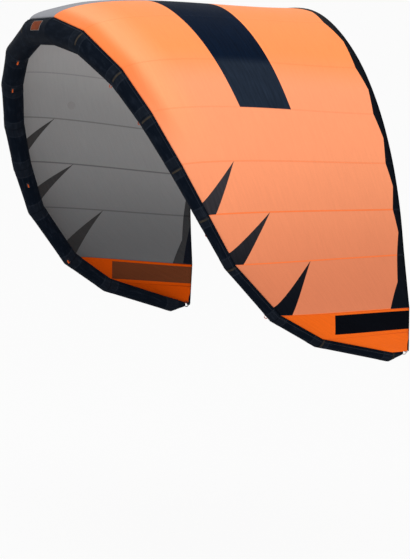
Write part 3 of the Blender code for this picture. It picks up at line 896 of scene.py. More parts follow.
def sailcloth(name, dark, paler, rough=0.5):
    """Heavy woven cloth, scuffed, with two rows of stitches along a band at every kink. Its paler
    scuffs are partly wear and partly painted sheen.
    """
    cloth = Finish(name, Specular_IOR_Level=0.008)
    along, across = cloth.flat()
    kink = cloth.stored("kink")
    full = 2.0 / WEAVE_PITCH
    weave = along.saw(WEAVE_PITCH) * full * (across.saw(WEAVE_PITCH) * full)
    scuffs_and_sheen = cloth.noise(cloth.at(along * 6.0, across * 18.0), 1.6, 5.0, 0.65)
    dust = cloth.noise(cloth.at(along, across), 3.0, 2.0)
    outer_row = (kink - KINK_BAND).size() < BAND_STITCH_HALF
    inner_row = (kink - KINK_BAND + BAND_ROW_GAP).size() < BAND_STITCH_HALF
    stitch = outer_row.at_least(inner_row) * (across.saw(BAND_STITCH_PITCH) < BAND_STITCH_LENGTH)
    joint = 1.0 - kink.fade(0.001, 0.0035)
    colour = (scuffs_and_sheen.fade(0.45, 0.85) * 0.55 + weave * 0.12).up_to(1.0).mix(dark, paler)
    colour = (stitch * 0.5).mix(colour, paint(50, 57, 68))
    cloth.set("Base Color", colour.tint(joint * 0.7, (0.2, 0.2, 0.2)))
    cloth.set("Roughness", rough + (dust - 0.5) * 0.18 - weave * 0.05)
    puckers = cloth.noise(cloth.at(across * 75.0, along * 9.0), 1.0, 1.0) * (1.0 - kink.fade(0.0, 0.06))
    ripple = cloth.noise(cloth.at(along * 4.0, across * 22.0), 1.0, 2.0)
    height = weave * 0.00012 + stitch * 0.0004 - joint * 0.0012 + puckers * 0.004 + ripple * 0.0022
    cloth.set("Normal", cloth.bump(height, 0.6, 1.0))
    return cloth.material


# The casing's paler colour is scuff wear and painted sheen.
CASING = sailcloth("tube_sailcloth_navy", paint(9, 15, 24), paint(35, 42, 53))
SLEEVE = sailcloth("kink_sleeve_cloth", paint(17, 22, 30), paint(43, 49, 59), 0.6)
print("casing finishes:", CASING.name, SLEEVE.name)


# %% Points on the round casing
def casing_point(index, share, turn, side, proud=0.0):
    """Point of the casing: segment, share of it, angle behind the cloth joint, metres proud."""
    ends = []
    for end in (index, index + 1):
        radius = tube_radius(end)
        if 0.0 < turn < 2.0 * math.pi / CASING_SIDES:
            half_facet = math.pi / CASING_SIDES
            radius *= math.cos(half_facet) / math.cos(turn - half_facet)
        ends.append(ring_point(end, attach_angle(end) + turn, radius + proud))
    return place(ends[0].lerp(ends[1], share), side)


def segment_length(index):
    return (CENTRES[index + 1] - CENTRES[index]).length


RUN = running_total([segment_length(index) for index in range(STATIONS - 1)])
print("tube length of a half:", round(RUN[-1], 2), "m")

# %% [markdown]
# Two kinds of fitting stand on flat spots of the casing: the webbing loops and the inflation valve.
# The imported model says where. The round casing is pressed flat there, so that the fittings sit on it.

# %% Flat spots
LOOP_PLACES = ((2, 0.90), (3, 0.92), (6, 0.36), (7, 0.96))
LOOP_FACET, VALVE_FACET = 9, 6


def facet_frame(index, share, facet, side):
    """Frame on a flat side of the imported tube: X along the tube, Z straight out."""
    step = 2.0 * math.pi / CASING_SIDES
    corners = []
    for end in (index, index + 1):
        for edge in (facet, facet + 1):
            angle = attach_angle(end) + step * edge
            corners.append(place(ring_point(end, angle, tube_radius(end)), side))
    low_a, low_b, high_a, high_b = corners
    first, second = low_a.lerp(high_a, share), low_b.lerp(high_b, share)
    along = ((high_a + high_b) - (low_a + low_b)).normalized()
    across = (second - first).normalized()
    outward = along.cross(across).normalized()
    centre = place(CENTRES[index].lerp(CENTRES[index + 1], share), side)
    if outward.dot((first + second) / 2.0 - centre) < 0.0:
        outward = -outward
    made = Matrix((along, outward.cross(along).normalized(), outward)).transposed().to_4x4()
    made.translation = (first + second) / 2.0
    return made


SIDES = (("right", 1), ("left", -1))
loop_frames = {}
for side_name, side in SIDES:
    for number, (segment, share) in enumerate(LOOP_PLACES, start=1):
        name = "bridle_loop_%s_%d" % (side_name, number)
        loop_frames[name] = facet_frame(segment - 1, share, LOOP_FACET, side)
valve_frame = facet_frame(0, 0.5, VALVE_FACET, 1)
print("loops:", len(loop_frames), "and one valve")

# %% Press the casing flat
LOOP_REACH, VALVE_REACH, PRESS_DEPTH = 0.026, 0.030, 0.03
flat_spots = [(spot, LOOP_REACH) for spot in loop_frames.values()] + [(valve_frame, VALVE_REACH)]


def press_flat(point, layer=0.0):
    """Push a point down to a flat spot if it is near one, and let it rise softly around the spot."""
    for spot, reach in flat_spots:
        local = spot.inverted() @ point
        away = math.hypot(local.x, local.y)
        if away < 2.0 * reach and abs(local.z) < PRESS_DEPTH:
            keep = min(max(away / reach - 1.0, 0.0), 1.0)
            local.z = min(local.z, layer) * (1.0 - keep) + local.z * keep
            point = spot @ local
    return point


print("flat spots:", len(flat_spots))

# %% Puckers at the kinks
NEAR_KINK, PLAIN_SHARES = (0.0, 0.012, 0.03, 0.06, 0.10), (0.35, 0.5, 0.65)
PUCKER_REACH, PUCKER_FOLD, PUCKER_TUCK = 0.022, 0.0011, 0.0016


def ring_shares(length):
    """Shares of a segment's length with rings close together at both kinks."""
    near = [distance / length for distance in NEAR_KINK if distance < 0.45 * length]
    plain = [share for share in PLAIN_SHARES if near[-1] < share < 1.0 - near[-1]]
    return near + plain + [1.0 - share for share in reversed(near[1:])]


def pucker(index, share, turn, length):
    """How far the casing stands in or out: tight along a segment, puckered at a kink."""
    from_kink = min(share, 1.0 - share) * length
    if index == STATIONS - 2:
        from_kink = share * length
    if index == 0 and share < 0.5:
        from_kink = 1.0
    fold = math.cos(18.0 * turn) * 0.5 + math.cos(29.0 * turn + 1.3 * index) * 0.5
    return math.exp(-(from_kink / PUCKER_REACH) ** 2) * (PUCKER_FOLD * fold - PUCKER_TUCK)


print("rings on the first segment:", len(ring_shares(segment_length(0))))

# %% Rings of the casing
CASING_ROUND = 48


def half_rings(side):
    """Every ring of a half, from the middle to the tip: segment, share, side, segment length."""
    rings = []
    for index in range(STATIONS - 1):
        length = segment_length(index)
        rings += [(index, share, side, length) for share in ring_shares(length)[:-1]]
    return rings + [(STATIONS - 2, 1.0, side, segment_length(STATIONS - 2))]


ring_order = list(reversed(half_rings(-1)))[:-1] + half_rings(1)
casing_maker = bmesh.new()
kink_layer = casing_maker.verts.layers.float.new("kink")
casing_uv = casing_maker.loops.layers.uv.new("flat")
casing_rings = []
for index, share, side, length in ring_order:
    ring = []
    for step in range(CASING_ROUND):
        turn = 2.0 * math.pi * step / CASING_ROUND
        point = casing_point(index, share, turn, side, pucker(index, share, turn, length))
        corner = casing_maker.verts.new(press_flat(point))
        corner[kink_layer] = min(share, 1.0 - share) * length if index or share > 0.5 else 1.0 - share
        ring.append(corner)
    casing_rings.append((ring, side * (RUN[index] + share * length)))
print("casing rings:", len(casing_rings))

# %% Skin of the casing
MEAN_RADIUS = 0.085


def join_rings(maker, first, second, uv=None, runs=(0.0, 0.0), edge=0.0):
    """Smooth faces between two closed rings. Flat coordinates are the run and the way around."""
    for step in range(len(first)):
        following = (step + 1) % len(first)
        face = maker.faces.new((first[step], first[following], second[following], second[step]))
        face.smooth = True
        if uv is not None:
            corners = ((runs[0], step), (runs[0], step + 1), (runs[1], step + 1), (runs[1], step))
            for loop, (run, turned) in zip(face.loops, corners):
                loop[uv].uv = (run, turned * edge)


casing_edge = 2.0 * math.pi * MEAN_RADIUS / CASING_ROUND
for (first, first_run), (second, second_run) in zip(casing_rings, casing_rings[1:]):
    join_rings(casing_maker, first, second, casing_uv, (first_run, second_run), casing_edge)
print("casing faces:", len(casing_maker.faces))

# %% Rounded ends of the casing
END_STEPS = ((0.85, 0.004), (0.55, 0.007))
for number, neighbour in ((0, 1), (-1, -2)):
    ring, inner = casing_rings[number][0], casing_rings[neighbour][0]
    middle = sum((corner.co for corner in ring), Vector()) / CASING_ROUND
    before = sum((corner.co for corner in inner), Vector()) / CASING_ROUND
    outward = (middle - before).normalized()
    last = ring
    for shrink, push in END_STEPS:
        points = [middle.lerp(corner.co, shrink) + outward * push for corner in ring]
        smaller = [casing_maker.verts.new(point) for point in points]
        join_rings(casing_maker, last, smaller)
        last = smaller
    casing_maker.faces.new(last).smooth = True
bmesh.ops.recalc_face_normals(casing_maker, faces=casing_maker.faces)
print("casing faces with its ends:", len(casing_maker.faces))

# %% A piece that rides on a body
KINK_DEGREES = 22.0


def new_piece(name, maker, finishes, body="kite"):
    piece = mesh_object(name, maker, finishes)
    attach(piece, body)
    return piece


def crisp(piece, degrees):
    """Keep the shading crisp where faces meet at more than an angle."""
    piece.data.set_sharp_from_angle(angle=math.radians(degrees))


casing = new_piece("tube_casing", casing_maker, [CASING])
crisp(casing, KINK_DEGREES)
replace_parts(casing, *[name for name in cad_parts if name.startswith(("tube_segment", "tube_end"))])
print("tube casing:", len(casing.data.polygons), "faces")

# %% [markdown]
# The casing has a hole for the valve. A round cutter makes it with a Boolean modifier, which is then
# applied so that no cutter stays in the scene.

# %% Valve hole
HOLE_RADIUS, HOLE_DEPTH, HOLE_SIDES = 0.0126, 0.05, 40
hole_maker = bmesh.new()
bmesh.ops.create_cone(hole_maker, cap_ends=True, segments=HOLE_SIDES, radius1=HOLE_RADIUS,
                      radius2=HOLE_RADIUS, depth=HOLE_DEPTH)
hole_cutter = mesh_object("hole_cutter", hole_maker)
hole_cutter.matrix_world = valve_frame


def drill(piece):
    """Cut the hole, keep the result as the piece's mesh, and print how many faces it has."""
    drilled = piece.modifiers.new("valve hole", "BOOLEAN")
    drilled.operation = "DIFFERENCE"
    drilled.solver = "EXACT"
    drilled.object = hole_cutter
    bpy.context.view_layer.update()
    seen = bpy.context.evaluated_depsgraph_get()
    result = bpy.data.meshes.new_from_object(piece.evaluated_get(seen))
    piece.modifiers.remove(drilled)
    piece.data = result
    print(piece.name, "drilled:", len(result.polygons), "faces")


drill(casing)

# %% [markdown]
# ## The air bladder
# Inside the casing lies a bladder of thin clear film, a little smaller than the casing, that holds
# the air. It is hidden, but a part that can be opened up should have it. It follows the same rings.

# %% Bladder film
film = Finish("bladder_film_clear", Roughness=0.3, Specular_IOR_Level=0.5)
cloudy = film.noise(film.here(), 9.0, 3.0)
film.set("Base Color", cloudy.fade(0.3, 0.7).mix(paint(214, 216, 210), paint(232, 233, 228)))
film.set("Normal", film.bump(film.noise(film.here(), 40.0, 2.0), 0.3, 0.002))
print("film:", film.material.name)

# %% Bladder
BLADDER_ROUND, BLADDER_UNDER, BLADDER_GAP = 24, -0.0005, 0.0055
bladder_maker = bmesh.new()
bladder_rings = []
for index, share, side, length in ring_order:
    if index == STATIONS - 2:
        continue
    centre = place(CENTRES[index].lerp(CENTRES[index + 1], share), side)
    ring = []
    for step in range(BLADDER_ROUND):
        turn = 2.0 * math.pi * step / BLADDER_ROUND
        point = press_flat(casing_point(index, share, turn, side, BLADDER_UNDER))
        ring.append(bladder_maker.verts.new(point + (centre - point).normalized() * BLADDER_GAP))
    bladder_rings.append(ring)
for first, second in zip(bladder_rings, bladder_rings[1:]):
    join_rings(bladder_maker, first, second)
bladder_maker.faces.new(bladder_rings[0])
bladder_maker.faces.new(bladder_rings[-1])
bmesh.ops.recalc_face_normals(bladder_maker, faces=bladder_maker.faces)
bladder = new_piece("air_bladder", bladder_maker, [film.material])
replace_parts(bladder, "bladder")
drill(bladder)
bpy.data.objects.remove(hole_cutter)

# %% [markdown]
# ## Bands, piping and tabs on the casing
# Over every kink lies a second layer of cloth, sewn down along both edges. A thin piping covers the
# seam between tube and canopy. Short tabs sit at most kinks in front of the piping. Sleeves and tabs
# are thin strips wrapped around the casing, so one function makes them from a range of angles.

# %% Two skins and a rim
STRIP_LIFT = 0.0002


def strip_skin(maker, kink, rows, lift):
    """Corners of one skin of a strip, each with its distance to the nearest kink."""
    skin = []
    for row in rows:
        corners = []
        for index, share, turn, side in row:
            corner = maker.verts.new(press_flat(casing_point(index, share, turn, side, lift), lift))
            corner[kink] = min(share, 1.0 - share) * segment_length(index)
            corners.append(corner)
        skin.append(corners)
    return skin


def strip_rim(rows, columns):
    """Places (row, column) around the rim of a strip, in order."""
    last_row, last_column = rows - 1, columns - 1
    return ([(0, column) for column in range(columns)]
            + [(row, last_column) for row in range(1, rows)]
            + [(last_row, column) for column in range(last_column - 1, -1, -1)]
            + [(row, 0) for row in range(last_row - 1, 0, -1)])


print("a strip of 3 by 4 has", len(strip_rim(3, 4)), "corners on its rim")


# %% A strip wrapped on the casing
def wrapped_strip(name, pieces, finish, thickness):
    """pieces: lists of rows, each row a list of (index, share, turn, side) points."""
    maker = bmesh.new()
    kink = maker.verts.layers.float.new("kink")
    uv = maker.loops.layers.uv.new("flat")
    for rows in pieces:
        low, top = [strip_skin(maker, kink, rows, lift) for lift in (STRIP_LIFT, thickness)]
        quads = []
        for row in range(len(rows) - 1):
            for column in range(len(rows[0]) - 1):
                cells = ((row, column), (row + 1, column), (row + 1, column + 1), (row, column + 1))
                quads.append(([top[r][c] for r, c in cells], cells))
                quads.append(([low[r][c] for r, c in cells[::-1]], cells[::-1]))
        rim = strip_rim(len(rows), len(rows[0]))
        for (r, c), (next_r, next_c) in zip(rim, rim[1:] + rim[:1]):
            corners = [low[r][c], low[next_r][next_c], top[next_r][next_c], top[r][c]]
            quads.append((corners, ((r, c), (next_r, next_c), (next_r, next_c), (r, c))))
        for corners, cells in quads:
            face = maker.faces.new(corners)
            face.smooth = True
            for loop, (r, c) in zip(face.loops, cells):
                index, share, turn, side = rows[r][c]
                run = RUN[index] + share * segment_length(index)
                loop[uv].uv = (side * run, turn * MEAN_RADIUS)
    bmesh.ops.recalc_face_normals(maker, faces=maker.faces)
    made = new_piece(name, maker, [finish])
    crisp(made, KINK_DEGREES)
    print(name, len(made.data.polygons), "faces")


def rows_across(kink, before, after, turns, side, steps):
    """Rows from a distance before a kink to a distance after it, at the given turns."""
    rows = []
    for step in range(steps + 1):
        distance = before + (after - before) * step / steps
        if distance < 0.0:
            index = kink - 1
            share = 1.0 + distance / segment_length(index)
        else:
            index = kink
            share = distance / segment_length(index)
        rows.append([(index, share, turn, side) for turn in turns])
    return rows


def turns_between(first_deg, last_deg, steps):
    span = last_deg - first_deg
    return [math.radians(first_deg + span * step / steps) for step in range(steps + 1)]


print("strips wrap between two angles behind the cloth joint")

# %% Sleeves over the kinks
SLEEVE_THICKNESS, SHORT_SEGMENT_SHARE = 0.0011, 0.4
sleeve_turns = turns_between(26.0, 352.0, 40)


def sleeve_reach(index):
    """How far a sleeve reaches over a segment, less on the short ones."""
    return min(KINK_BAND, SHORT_SEGMENT_SHARE * segment_length(index))


sleeve_rows = []
for side in (1, -1):
    for kink in range(1, SEGMENTS + 1):
        before, after = -sleeve_reach(kink - 1), sleeve_reach(kink)
        sleeve_rows.append(rows_across(kink, before, after, sleeve_turns, side, 8))
wrapped_strip("kink_sleeves", sleeve_rows, SLEEVE, SLEEVE_THICKNESS)
print("sleeves:", len(sleeve_rows))

# %% Tabs of hook-and-loop tape
TAB_START, TAB_END, TAB_THICKNESS = 0.012, 0.026, 0.0026
fuzzy = Finish("brown_tab_tape", Roughness=0.85, Specular_IOR_Level=0.03)
fuzz = fuzzy.noise(fuzzy.here(), 900.0, 3.0)
worn_pile = (fuzz * 0.8 + fuzzy.noise(fuzzy.here(), 30.0) * 0.4).fade(0.35, 0.85)
fuzzy.set("Base Color", worn_pile.mix(paint(38, 35, 31), paint(62, 56, 49)))
fuzzy.set("Normal", fuzzy.bump(fuzz, 0.8, 0.0012))
tab_turns = turns_between(285.0, 350.0, 8)
tab_kinks = [kink for kink in range(1, SEGMENTS + 1) if kink != PANELS]
tab_rows = [rows_across(kink, TAB_START, TAB_END, tab_turns, side, 2)
            for side in (1, -1) for kink in tab_kinks]
wrapped_strip("kink_tabs", tab_rows, fuzzy.material, TAB_THICKNESS)
print("tabs:", len(tab_rows))

# %% [markdown]
# Piping, hem, patch edge and tip cords are all round beads along a path. A curve with a bevel could
# make them, but its flat coordinates wouldn't be in metres, and the braid needs that. So rings are
# set along the path, each turned as little as possible from the one before.


# %% A round bead along a path
def bead_rings(maker, path, radius, sides, closed):
    """Rings of corners around a path, and how far along the path each one is."""
    rings, runs, run, lift = [], [], 0.0, None
    last = len(path) - 1
    for step, point in enumerate(path):
        ahead = path[(step + 1) % len(path)] if closed else path[min(step + 1, last)]
        behind = path[step - 1] if closed else path[max(step - 1, 0)]
        along = (ahead - behind).normalized()
        lift = along.orthogonal() if lift is None else lift
        lift = (lift - along * lift.dot(along)).normalized()
        across = along.cross(lift)
        ring = []
        for corner in range(sides):
            angle = 2.0 * math.pi * corner / sides
            spoke = lift * math.cos(angle) + across * math.sin(angle)
            ring.append(maker.verts.new(point + spoke * radius))
        run += (point - path[step - 1]).length if step else 0.0
        rings.append(ring)
        runs.append(run)
    return rings, runs


def bead(name, paths, radius, finish, body="kite", sides=8, closed=False):
    maker = bmesh.new()
    uv = maker.loops.layers.uv.new("flat")
    edge = 2.0 * math.pi * radius / sides
    for path in paths:
        rings, runs = bead_rings(maker, path, radius, sides, closed)
        for step in range(len(rings) - 1):
            join_rings(maker, rings[step], rings[step + 1], uv, (runs[step], runs[step + 1]), edge)
        if closed:
            whole = runs[-1] + (path[0] - path[-1]).length
            join_rings(maker, rings[-1], rings[0], uv, (runs[-1], whole), edge)
        else:
            maker.faces.new(rings[0])
            maker.faces.new(rings[-1])
    bmesh.ops.recalc_face_normals(maker, faces=maker.faces)
    made = new_piece(name, maker, [finish], body)
    print(name, len(made.data.polygons), "faces")
    return made


print("a bead is ready for its paths")


# %% Cord finish
def cord_finish(name, dark, light, pitch):
    """Braided or twisted thread, drawn as slanted bumps around a cord."""
    cord = Finish(name, Roughness=0.7, Sheen_Weight=0.04, Specular_IOR_Level=0.06)
    along, across = cord.flat()
    lay = (along + across).saw(pitch) * (2.0 / pitch)
    cross = (along - across).saw(pitch) * (2.0 / pitch)
    strand = lay * cross
    grime = cord.noise(cord.here(), 35.0, 3.0)
    cord.set("Base Color", (strand * 0.7 + grime * 0.3).mix(dark, light))
    cord.set("Normal", cord.bump(strand, 0.7, pitch * 0.25))
    return cord.material


PIPING = cord_finish("piping_cord", paint(20, 26, 35), paint(40, 47, 59), 0.004)
HEM = cord_finish("hem_tape", paint(9, 11, 16), paint(24, 27, 34), 0.005)
print("cords:", PIPING.name, HEM.name)

# %% Piping
PIPING_BACK, PIPING_PROUD, PIPING_RADIUS = 0.023, 0.0012, 0.0022
PIPING_SHARES = (0.0, 0.1, 0.25, 0.5, 0.75, 0.9)


def piping_path(side):
    """Path in front of the cloth joint of a half. It leaves out the kite's middle point."""
    path = []
    for index in range(STATIONS - 1):
        for share in PIPING_SHARES:
            radius = tube_radius(index) + (tube_radius(index + 1) - tube_radius(index)) * share
            turn = 2.0 * math.pi - PIPING_BACK / radius
            path.append(casing_point(index, share, turn, side, PIPING_PROUD))
    return path[1:]


bead("joint_piping", [piping_path(-1)[::-1] + piping_path(1)], PIPING_RADIUS, PIPING)

# %% Trailing hem
HEM_RADIUS, HEM_PROUD = 0.0024, 0.0008
hem_path = []
for step in range(-SEGMENTS * COLUMNS, SEGMENTS * COLUMNS + 1):
    station = step / COLUMNS
    hem_path.append(cloth_point(abs(station), 1.0, -1 if station < 0.0 else 1, HEM_PROUD))
hem = bead("trailing_hem", [hem_path], HEM_RADIUS, HEM)
print("hem length:", round(sum((b - a).length for a, b in zip(hem_path, hem_path[1:])), 2), "m")

# %% [markdown]
# ## Plain patches
# A dull orange patch with a pale edge is sewn on the far half next to the middle of the tube, and a
# small round patch mends the inside of the grey cloth. Both are plain.

# %% Patch on the tube
PATCH_START, PATCH_END, PATCH_STEPS = 0.25, 0.62, 6
PATCH_THICKNESS, PATCH_EDGE_PROUD, PATCH_EDGE_RADIUS = 0.0014, 0.0012, 0.0011
patch_cloth = Finish("dull_orange_patch", Roughness=0.75, Specular_IOR_Level=0.03)
patch_grain = patch_cloth.noise(patch_cloth.here(), 420.0, 2.0)
patch_fade = patch_cloth.noise(patch_cloth.here(), 14.0, 2.0)
patch_tone = (patch_grain * 0.5 + patch_fade * 0.5).fade(0.3, 0.7)
patch_cloth.set("Base Color", patch_tone.mix(paint(86, 41, 24), paint(124, 62, 39)))
patch_cloth.set("Normal", patch_cloth.bump(patch_grain, 0.5, 0.0006))
patch_turns = turns_between(291.0, 334.0, 10)
patch_rows = []
for step in range(PATCH_STEPS + 1):
    share = PATCH_START + (PATCH_END - PATCH_START) * step / PATCH_STEPS
    patch_rows.append([(0, share, turn, -1) for turn in patch_turns])
wrapped_strip("tube_patch", [patch_rows], patch_cloth.material, PATCH_THICKNESS)

# %% Pale thread around the patch
pale_edge = cord_finish("patch_edge_thread", paint(130, 128, 122), paint(176, 173, 166), 0.003)
edge_path = []
for share, turns in ((PATCH_START, patch_turns), (PATCH_END, patch_turns[::-1])):
    edge_path += [casing_point(0, share, turn, -1, PATCH_EDGE_PROUD) for turn in turns]
bead("tube_patch_edge", [edge_path], PATCH_EDGE_RADIUS, pale_edge, closed=True)

# %% Round patch inside
SPOT_STATION, SPOT_SHARE, SPOT_RADIUS, SPOT_STEPS = 3.69, 0.352, 0.035, 28
SPOT_RINGS = ((0.5, -0.0009), (0.93, -0.0009), (1.0, -0.0002))
SPOT_MIDDLE = -0.0006
spot_maker = bmesh.new()
spot_centre = spot_maker.verts.new(cloth_point(SPOT_STATION, SPOT_SHARE, -1, SPOT_MIDDLE))
spot_rings = []
for ring_share, proud in SPOT_RINGS:
    ring = []
    for step in range(SPOT_STEPS):
        angle = 2.0 * math.pi * step / SPOT_STEPS
        reach = SPOT_RADIUS * ring_share
        station = SPOT_STATION + reach * math.cos(angle) / PANEL_FRONT_WIDTHS[int(SPOT_STATION)]
        share = SPOT_SHARE + reach * math.sin(angle) / chord_length(SPOT_STATION)
        ring.append(spot_maker.verts.new(cloth_point(station, share, -1, proud)))
    spot_rings.append(ring)
for first, second in zip(spot_rings[0], spot_rings[0][1:] + spot_rings[0][:1]):
    spot_maker.faces.new((spot_centre, first, second)).smooth = True
for first, second in zip(spot_rings, spot_rings[1:]):
    join_rings(spot_maker, second, first)
spot_cloth = Finish("round_patch_cloth", Roughness=0.6, Specular_IOR_Level=0.25)
spot_grain = spot_cloth.noise(spot_cloth.here(), 300.0, 2.0)
spot_cloth.set("Base Color", spot_grain.mix(paint(139, 141, 142), paint(146, 148, 149)))
spot_cloth.set("Normal", spot_cloth.bump(spot_grain, 0.3, 0.0004))
round_patch = new_piece("round_patch", spot_maker, [spot_cloth.material])
print("round patch:", SPOT_RADIUS * 2000, "mm across")

# %% [markdown]
# ## Loops for the lines
# The bridle hooks into short loops of flat webbing. Each one stands on a sewn square of tape, held
# by a keeper, a short tape over its foot. The loop can swing, so it rides on its own body while the
# square and the keeper stay on the casing. The tape is a flat band bent round, so its cross-section
# is a thin rectangle with rounded corners, gathered narrow where the keeper holds it.

# %% Webbing finish
RIB_PITCH, RIB_GAIN = 0.0022, 900.0


def webbing(name, dark, light):
    """Flat tape with slanted ribs and a little fuzz."""
    tape = Finish(name, Roughness=0.72, Sheen_Weight=0.05, Specular_IOR_Level=0.10)
    along, across = tape.flat()
    rib = (along + across * 0.5).saw(RIB_PITCH) * RIB_GAIN
    fuzz = tape.noise(tape.here(), 700.0, 2.0)
    tape.set("Base Color", (rib * 0.7 + fuzz * 0.3).mix(dark, light))
    tape.set("Normal", tape.bump(rib + fuzz * 0.4, 0.6, 0.0008))
    return tape.material


LOOP_TAPE = webbing("orange_webbing", paint(176, 66, 16), paint(226, 104, 38))
SQUARE_TAPE = webbing("navy_webbing", paint(14, 18, 26), paint(40, 46, 56))
print("webbing:", LOOP_TAPE.name, SQUARE_TAPE.name)

# %% Bridle loops
LOOP_RADIUS, LOOP_AXIS_HEIGHT = 0.013, 0.0008 + 0.003
FOOT_SHARE, FOOT_HEIGHT = 0.40, 0.0032
TAPE_STEPS, TAPE_EDGE = 28, 0.0022
# How far each corner of the tape's section is out from the loop, and how far across the tape.
TAPE_SECTION = ((0.0011, -0.0034), (0.0014, 0.0), (0.0011, 0.0034), (0.0003, 0.0042),
                (-0.0011, 0.0034), (-0.0014, 0.0), (-0.0011, -0.0034), (-0.0003, -0.0042))


def tape_loop(name, spot, finish):
    """Flat tape bent round in the spot's X and Z plane, gathered narrow at its foot."""
    maker = bmesh.new()
    uv = maker.loops.layers.uv.new("flat")
    rings = []
    for step in range(TAPE_STEPS):
        angle = 2.0 * math.pi * step / TAPE_STEPS
        spoke = Vector((math.sin(angle), 0.0, -math.cos(angle)))
        middle = Vector((0.0, 0.0, LOOP_RADIUS)) + spoke * LOOP_RADIUS
        gathered = min(1.0, FOOT_SHARE + (1.0 - FOOT_SHARE) * middle.z / FOOT_HEIGHT)
        ring = []
        for out, wide in TAPE_SECTION:
            point = middle + spoke * out + Vector((0.0, wide * gathered, 0.0))
            ring.append(maker.verts.new(spot @ point))
        rings.append(ring)
    arc = 2.0 * math.pi * LOOP_RADIUS / TAPE_STEPS
    for step in range(TAPE_STEPS):
        runs = (step * arc, (step + 1) * arc)
        join_rings(maker, rings[step], rings[(step + 1) % TAPE_STEPS], uv, runs, TAPE_EDGE)
    bmesh.ops.recalc_face_normals(maker, faces=maker.faces)
    return new_piece(name + "_tape", maker, [finish], name)


for name, spot in loop_frames.items():
    foot = spot @ Matrix.Translation((0.0, 0.0, LOOP_AXIS_HEIGHT))
    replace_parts(tape_loop(name, foot, LOOP_TAPE), name)
print("bridle loops:", len(loop_frames))

# %% Sewn squares under the loops
SQUARE_HALF_LENGTH, SQUARE_HALF_WIDTH = 0.021, 0.013
SQUARE_CELLS, SQUARE_TOP = 8, 0.965
SQUARE_RIM_HEIGHT, SQUARE_HEIGHT = 0.0001, 0.0017
SECOND_LINE = 1.0 - 2.0 / SQUARE_CELLS
RIM = 0.99


def lay_flat(maker, uv, spot, turned=False):
    """Smooth faces, with flat coordinates from the plane of a flat spot."""
    for face in maker.faces:
        face.smooth = True
        for loop in face.loops:
            local = spot.inverted() @ loop.vert.co
            loop[uv].uv = (local.y, local.x) if turned else (local.x, local.y)


def sewn_square(name, spot, finish):
    """A grid whose inner lines are pushed out to a steep rim, so that its outline is crisp."""
    maker = bmesh.new()
    uv = maker.loops.layers.uv.new("flat")
    made = bmesh.ops.create_grid(maker, x_segments=SQUARE_CELLS, y_segments=SQUARE_CELLS, size=1.0)
    for corner in made["verts"]:
        x, y = corner.co.xy
        on_rim = max(abs(x), abs(y)) > RIM
        x, y = [share if abs(share) > RIM else share * SQUARE_TOP / SECOND_LINE for share in (x, y)]
        height = SQUARE_RIM_HEIGHT if on_rim else SQUARE_HEIGHT
        corner.co = spot @ Vector((x * SQUARE_HALF_LENGTH, y * SQUARE_HALF_WIDTH, height))
    lay_flat(maker, uv, spot)
    return new_piece(name + "_square", maker, [finish])


squares = [sewn_square(name, spot, SQUARE_TAPE) for name, spot in loop_frames.items()]
print("sewn squares:", len(squares))

# %% Keepers that hold the loops
KEEPER_HALF, KEEPER_THICK, KEEPER_INSIDE, KEEPER_FOOT = 0.0030, 0.0007, 0.0027, 0.0090
KEEPER_SOLE, KEEPER_BEND, KEEPER_BEND_RISE, KEEPER_KNEE = 0.0012, 0.0016, 0.0004, 0.0026
KEEPER_DEGREES = 40.0


def keeper_line(extra):
    """Half of a keeper's outline as (across, height) points, its inside or its outside."""
    radius, sole = KEEPER_INSIDE + extra, KEEPER_SOLE + extra
    foot = [(KEEPER_FOOT, sole), (KEEPER_INSIDE + KEEPER_BEND, sole + KEEPER_BEND_RISE),
            (radius, KEEPER_KNEE)]
    arch = [(-radius * math.cos(turn), LOOP_AXIS_HEIGHT + radius * math.sin(turn))
            for turn in turns_between(0.0, 180.0, 12)]
    return [(-across, height) for across, height in foot] + arch + foot[::-1]


def keeper(name, spot, finish):
    """Short tape arched over the loop's foot and sewn to the square on both sides."""
    maker = bmesh.new()
    uv = maker.loops.layers.uv.new("flat")
    outline = keeper_line(0.0) + keeper_line(KEEPER_THICK)[::-1]
    sides = [[maker.verts.new(spot @ Vector((x, y, z))) for y, z in outline]
             for x in (-KEEPER_HALF, KEEPER_HALF)]
    join_rings(maker, *sides)
    for side in sides:
        for step in range(len(outline) // 2 - 1):
            maker.faces.new((side[step], side[step + 1], side[-2 - step], side[-1 - step]))
    bmesh.ops.recalc_face_normals(maker, faces=maker.faces)
    lay_flat(maker, uv, spot, turned=True)
    made = new_piece(name + "_keeper", maker, [finish])
    crisp(made, KEEPER_DEGREES)
    return made


keepers = [keeper(name, spot, SQUARE_TAPE) for name, spot in loop_frames.items()]
print("keepers:", len(keepers))

# %% [markdown]
# The rear lines hook into a loop of braided cord at each tip, closed by a knot. The near one is
# white and the far one is dark. The knot is a trefoil curve, made small and set on the loop.

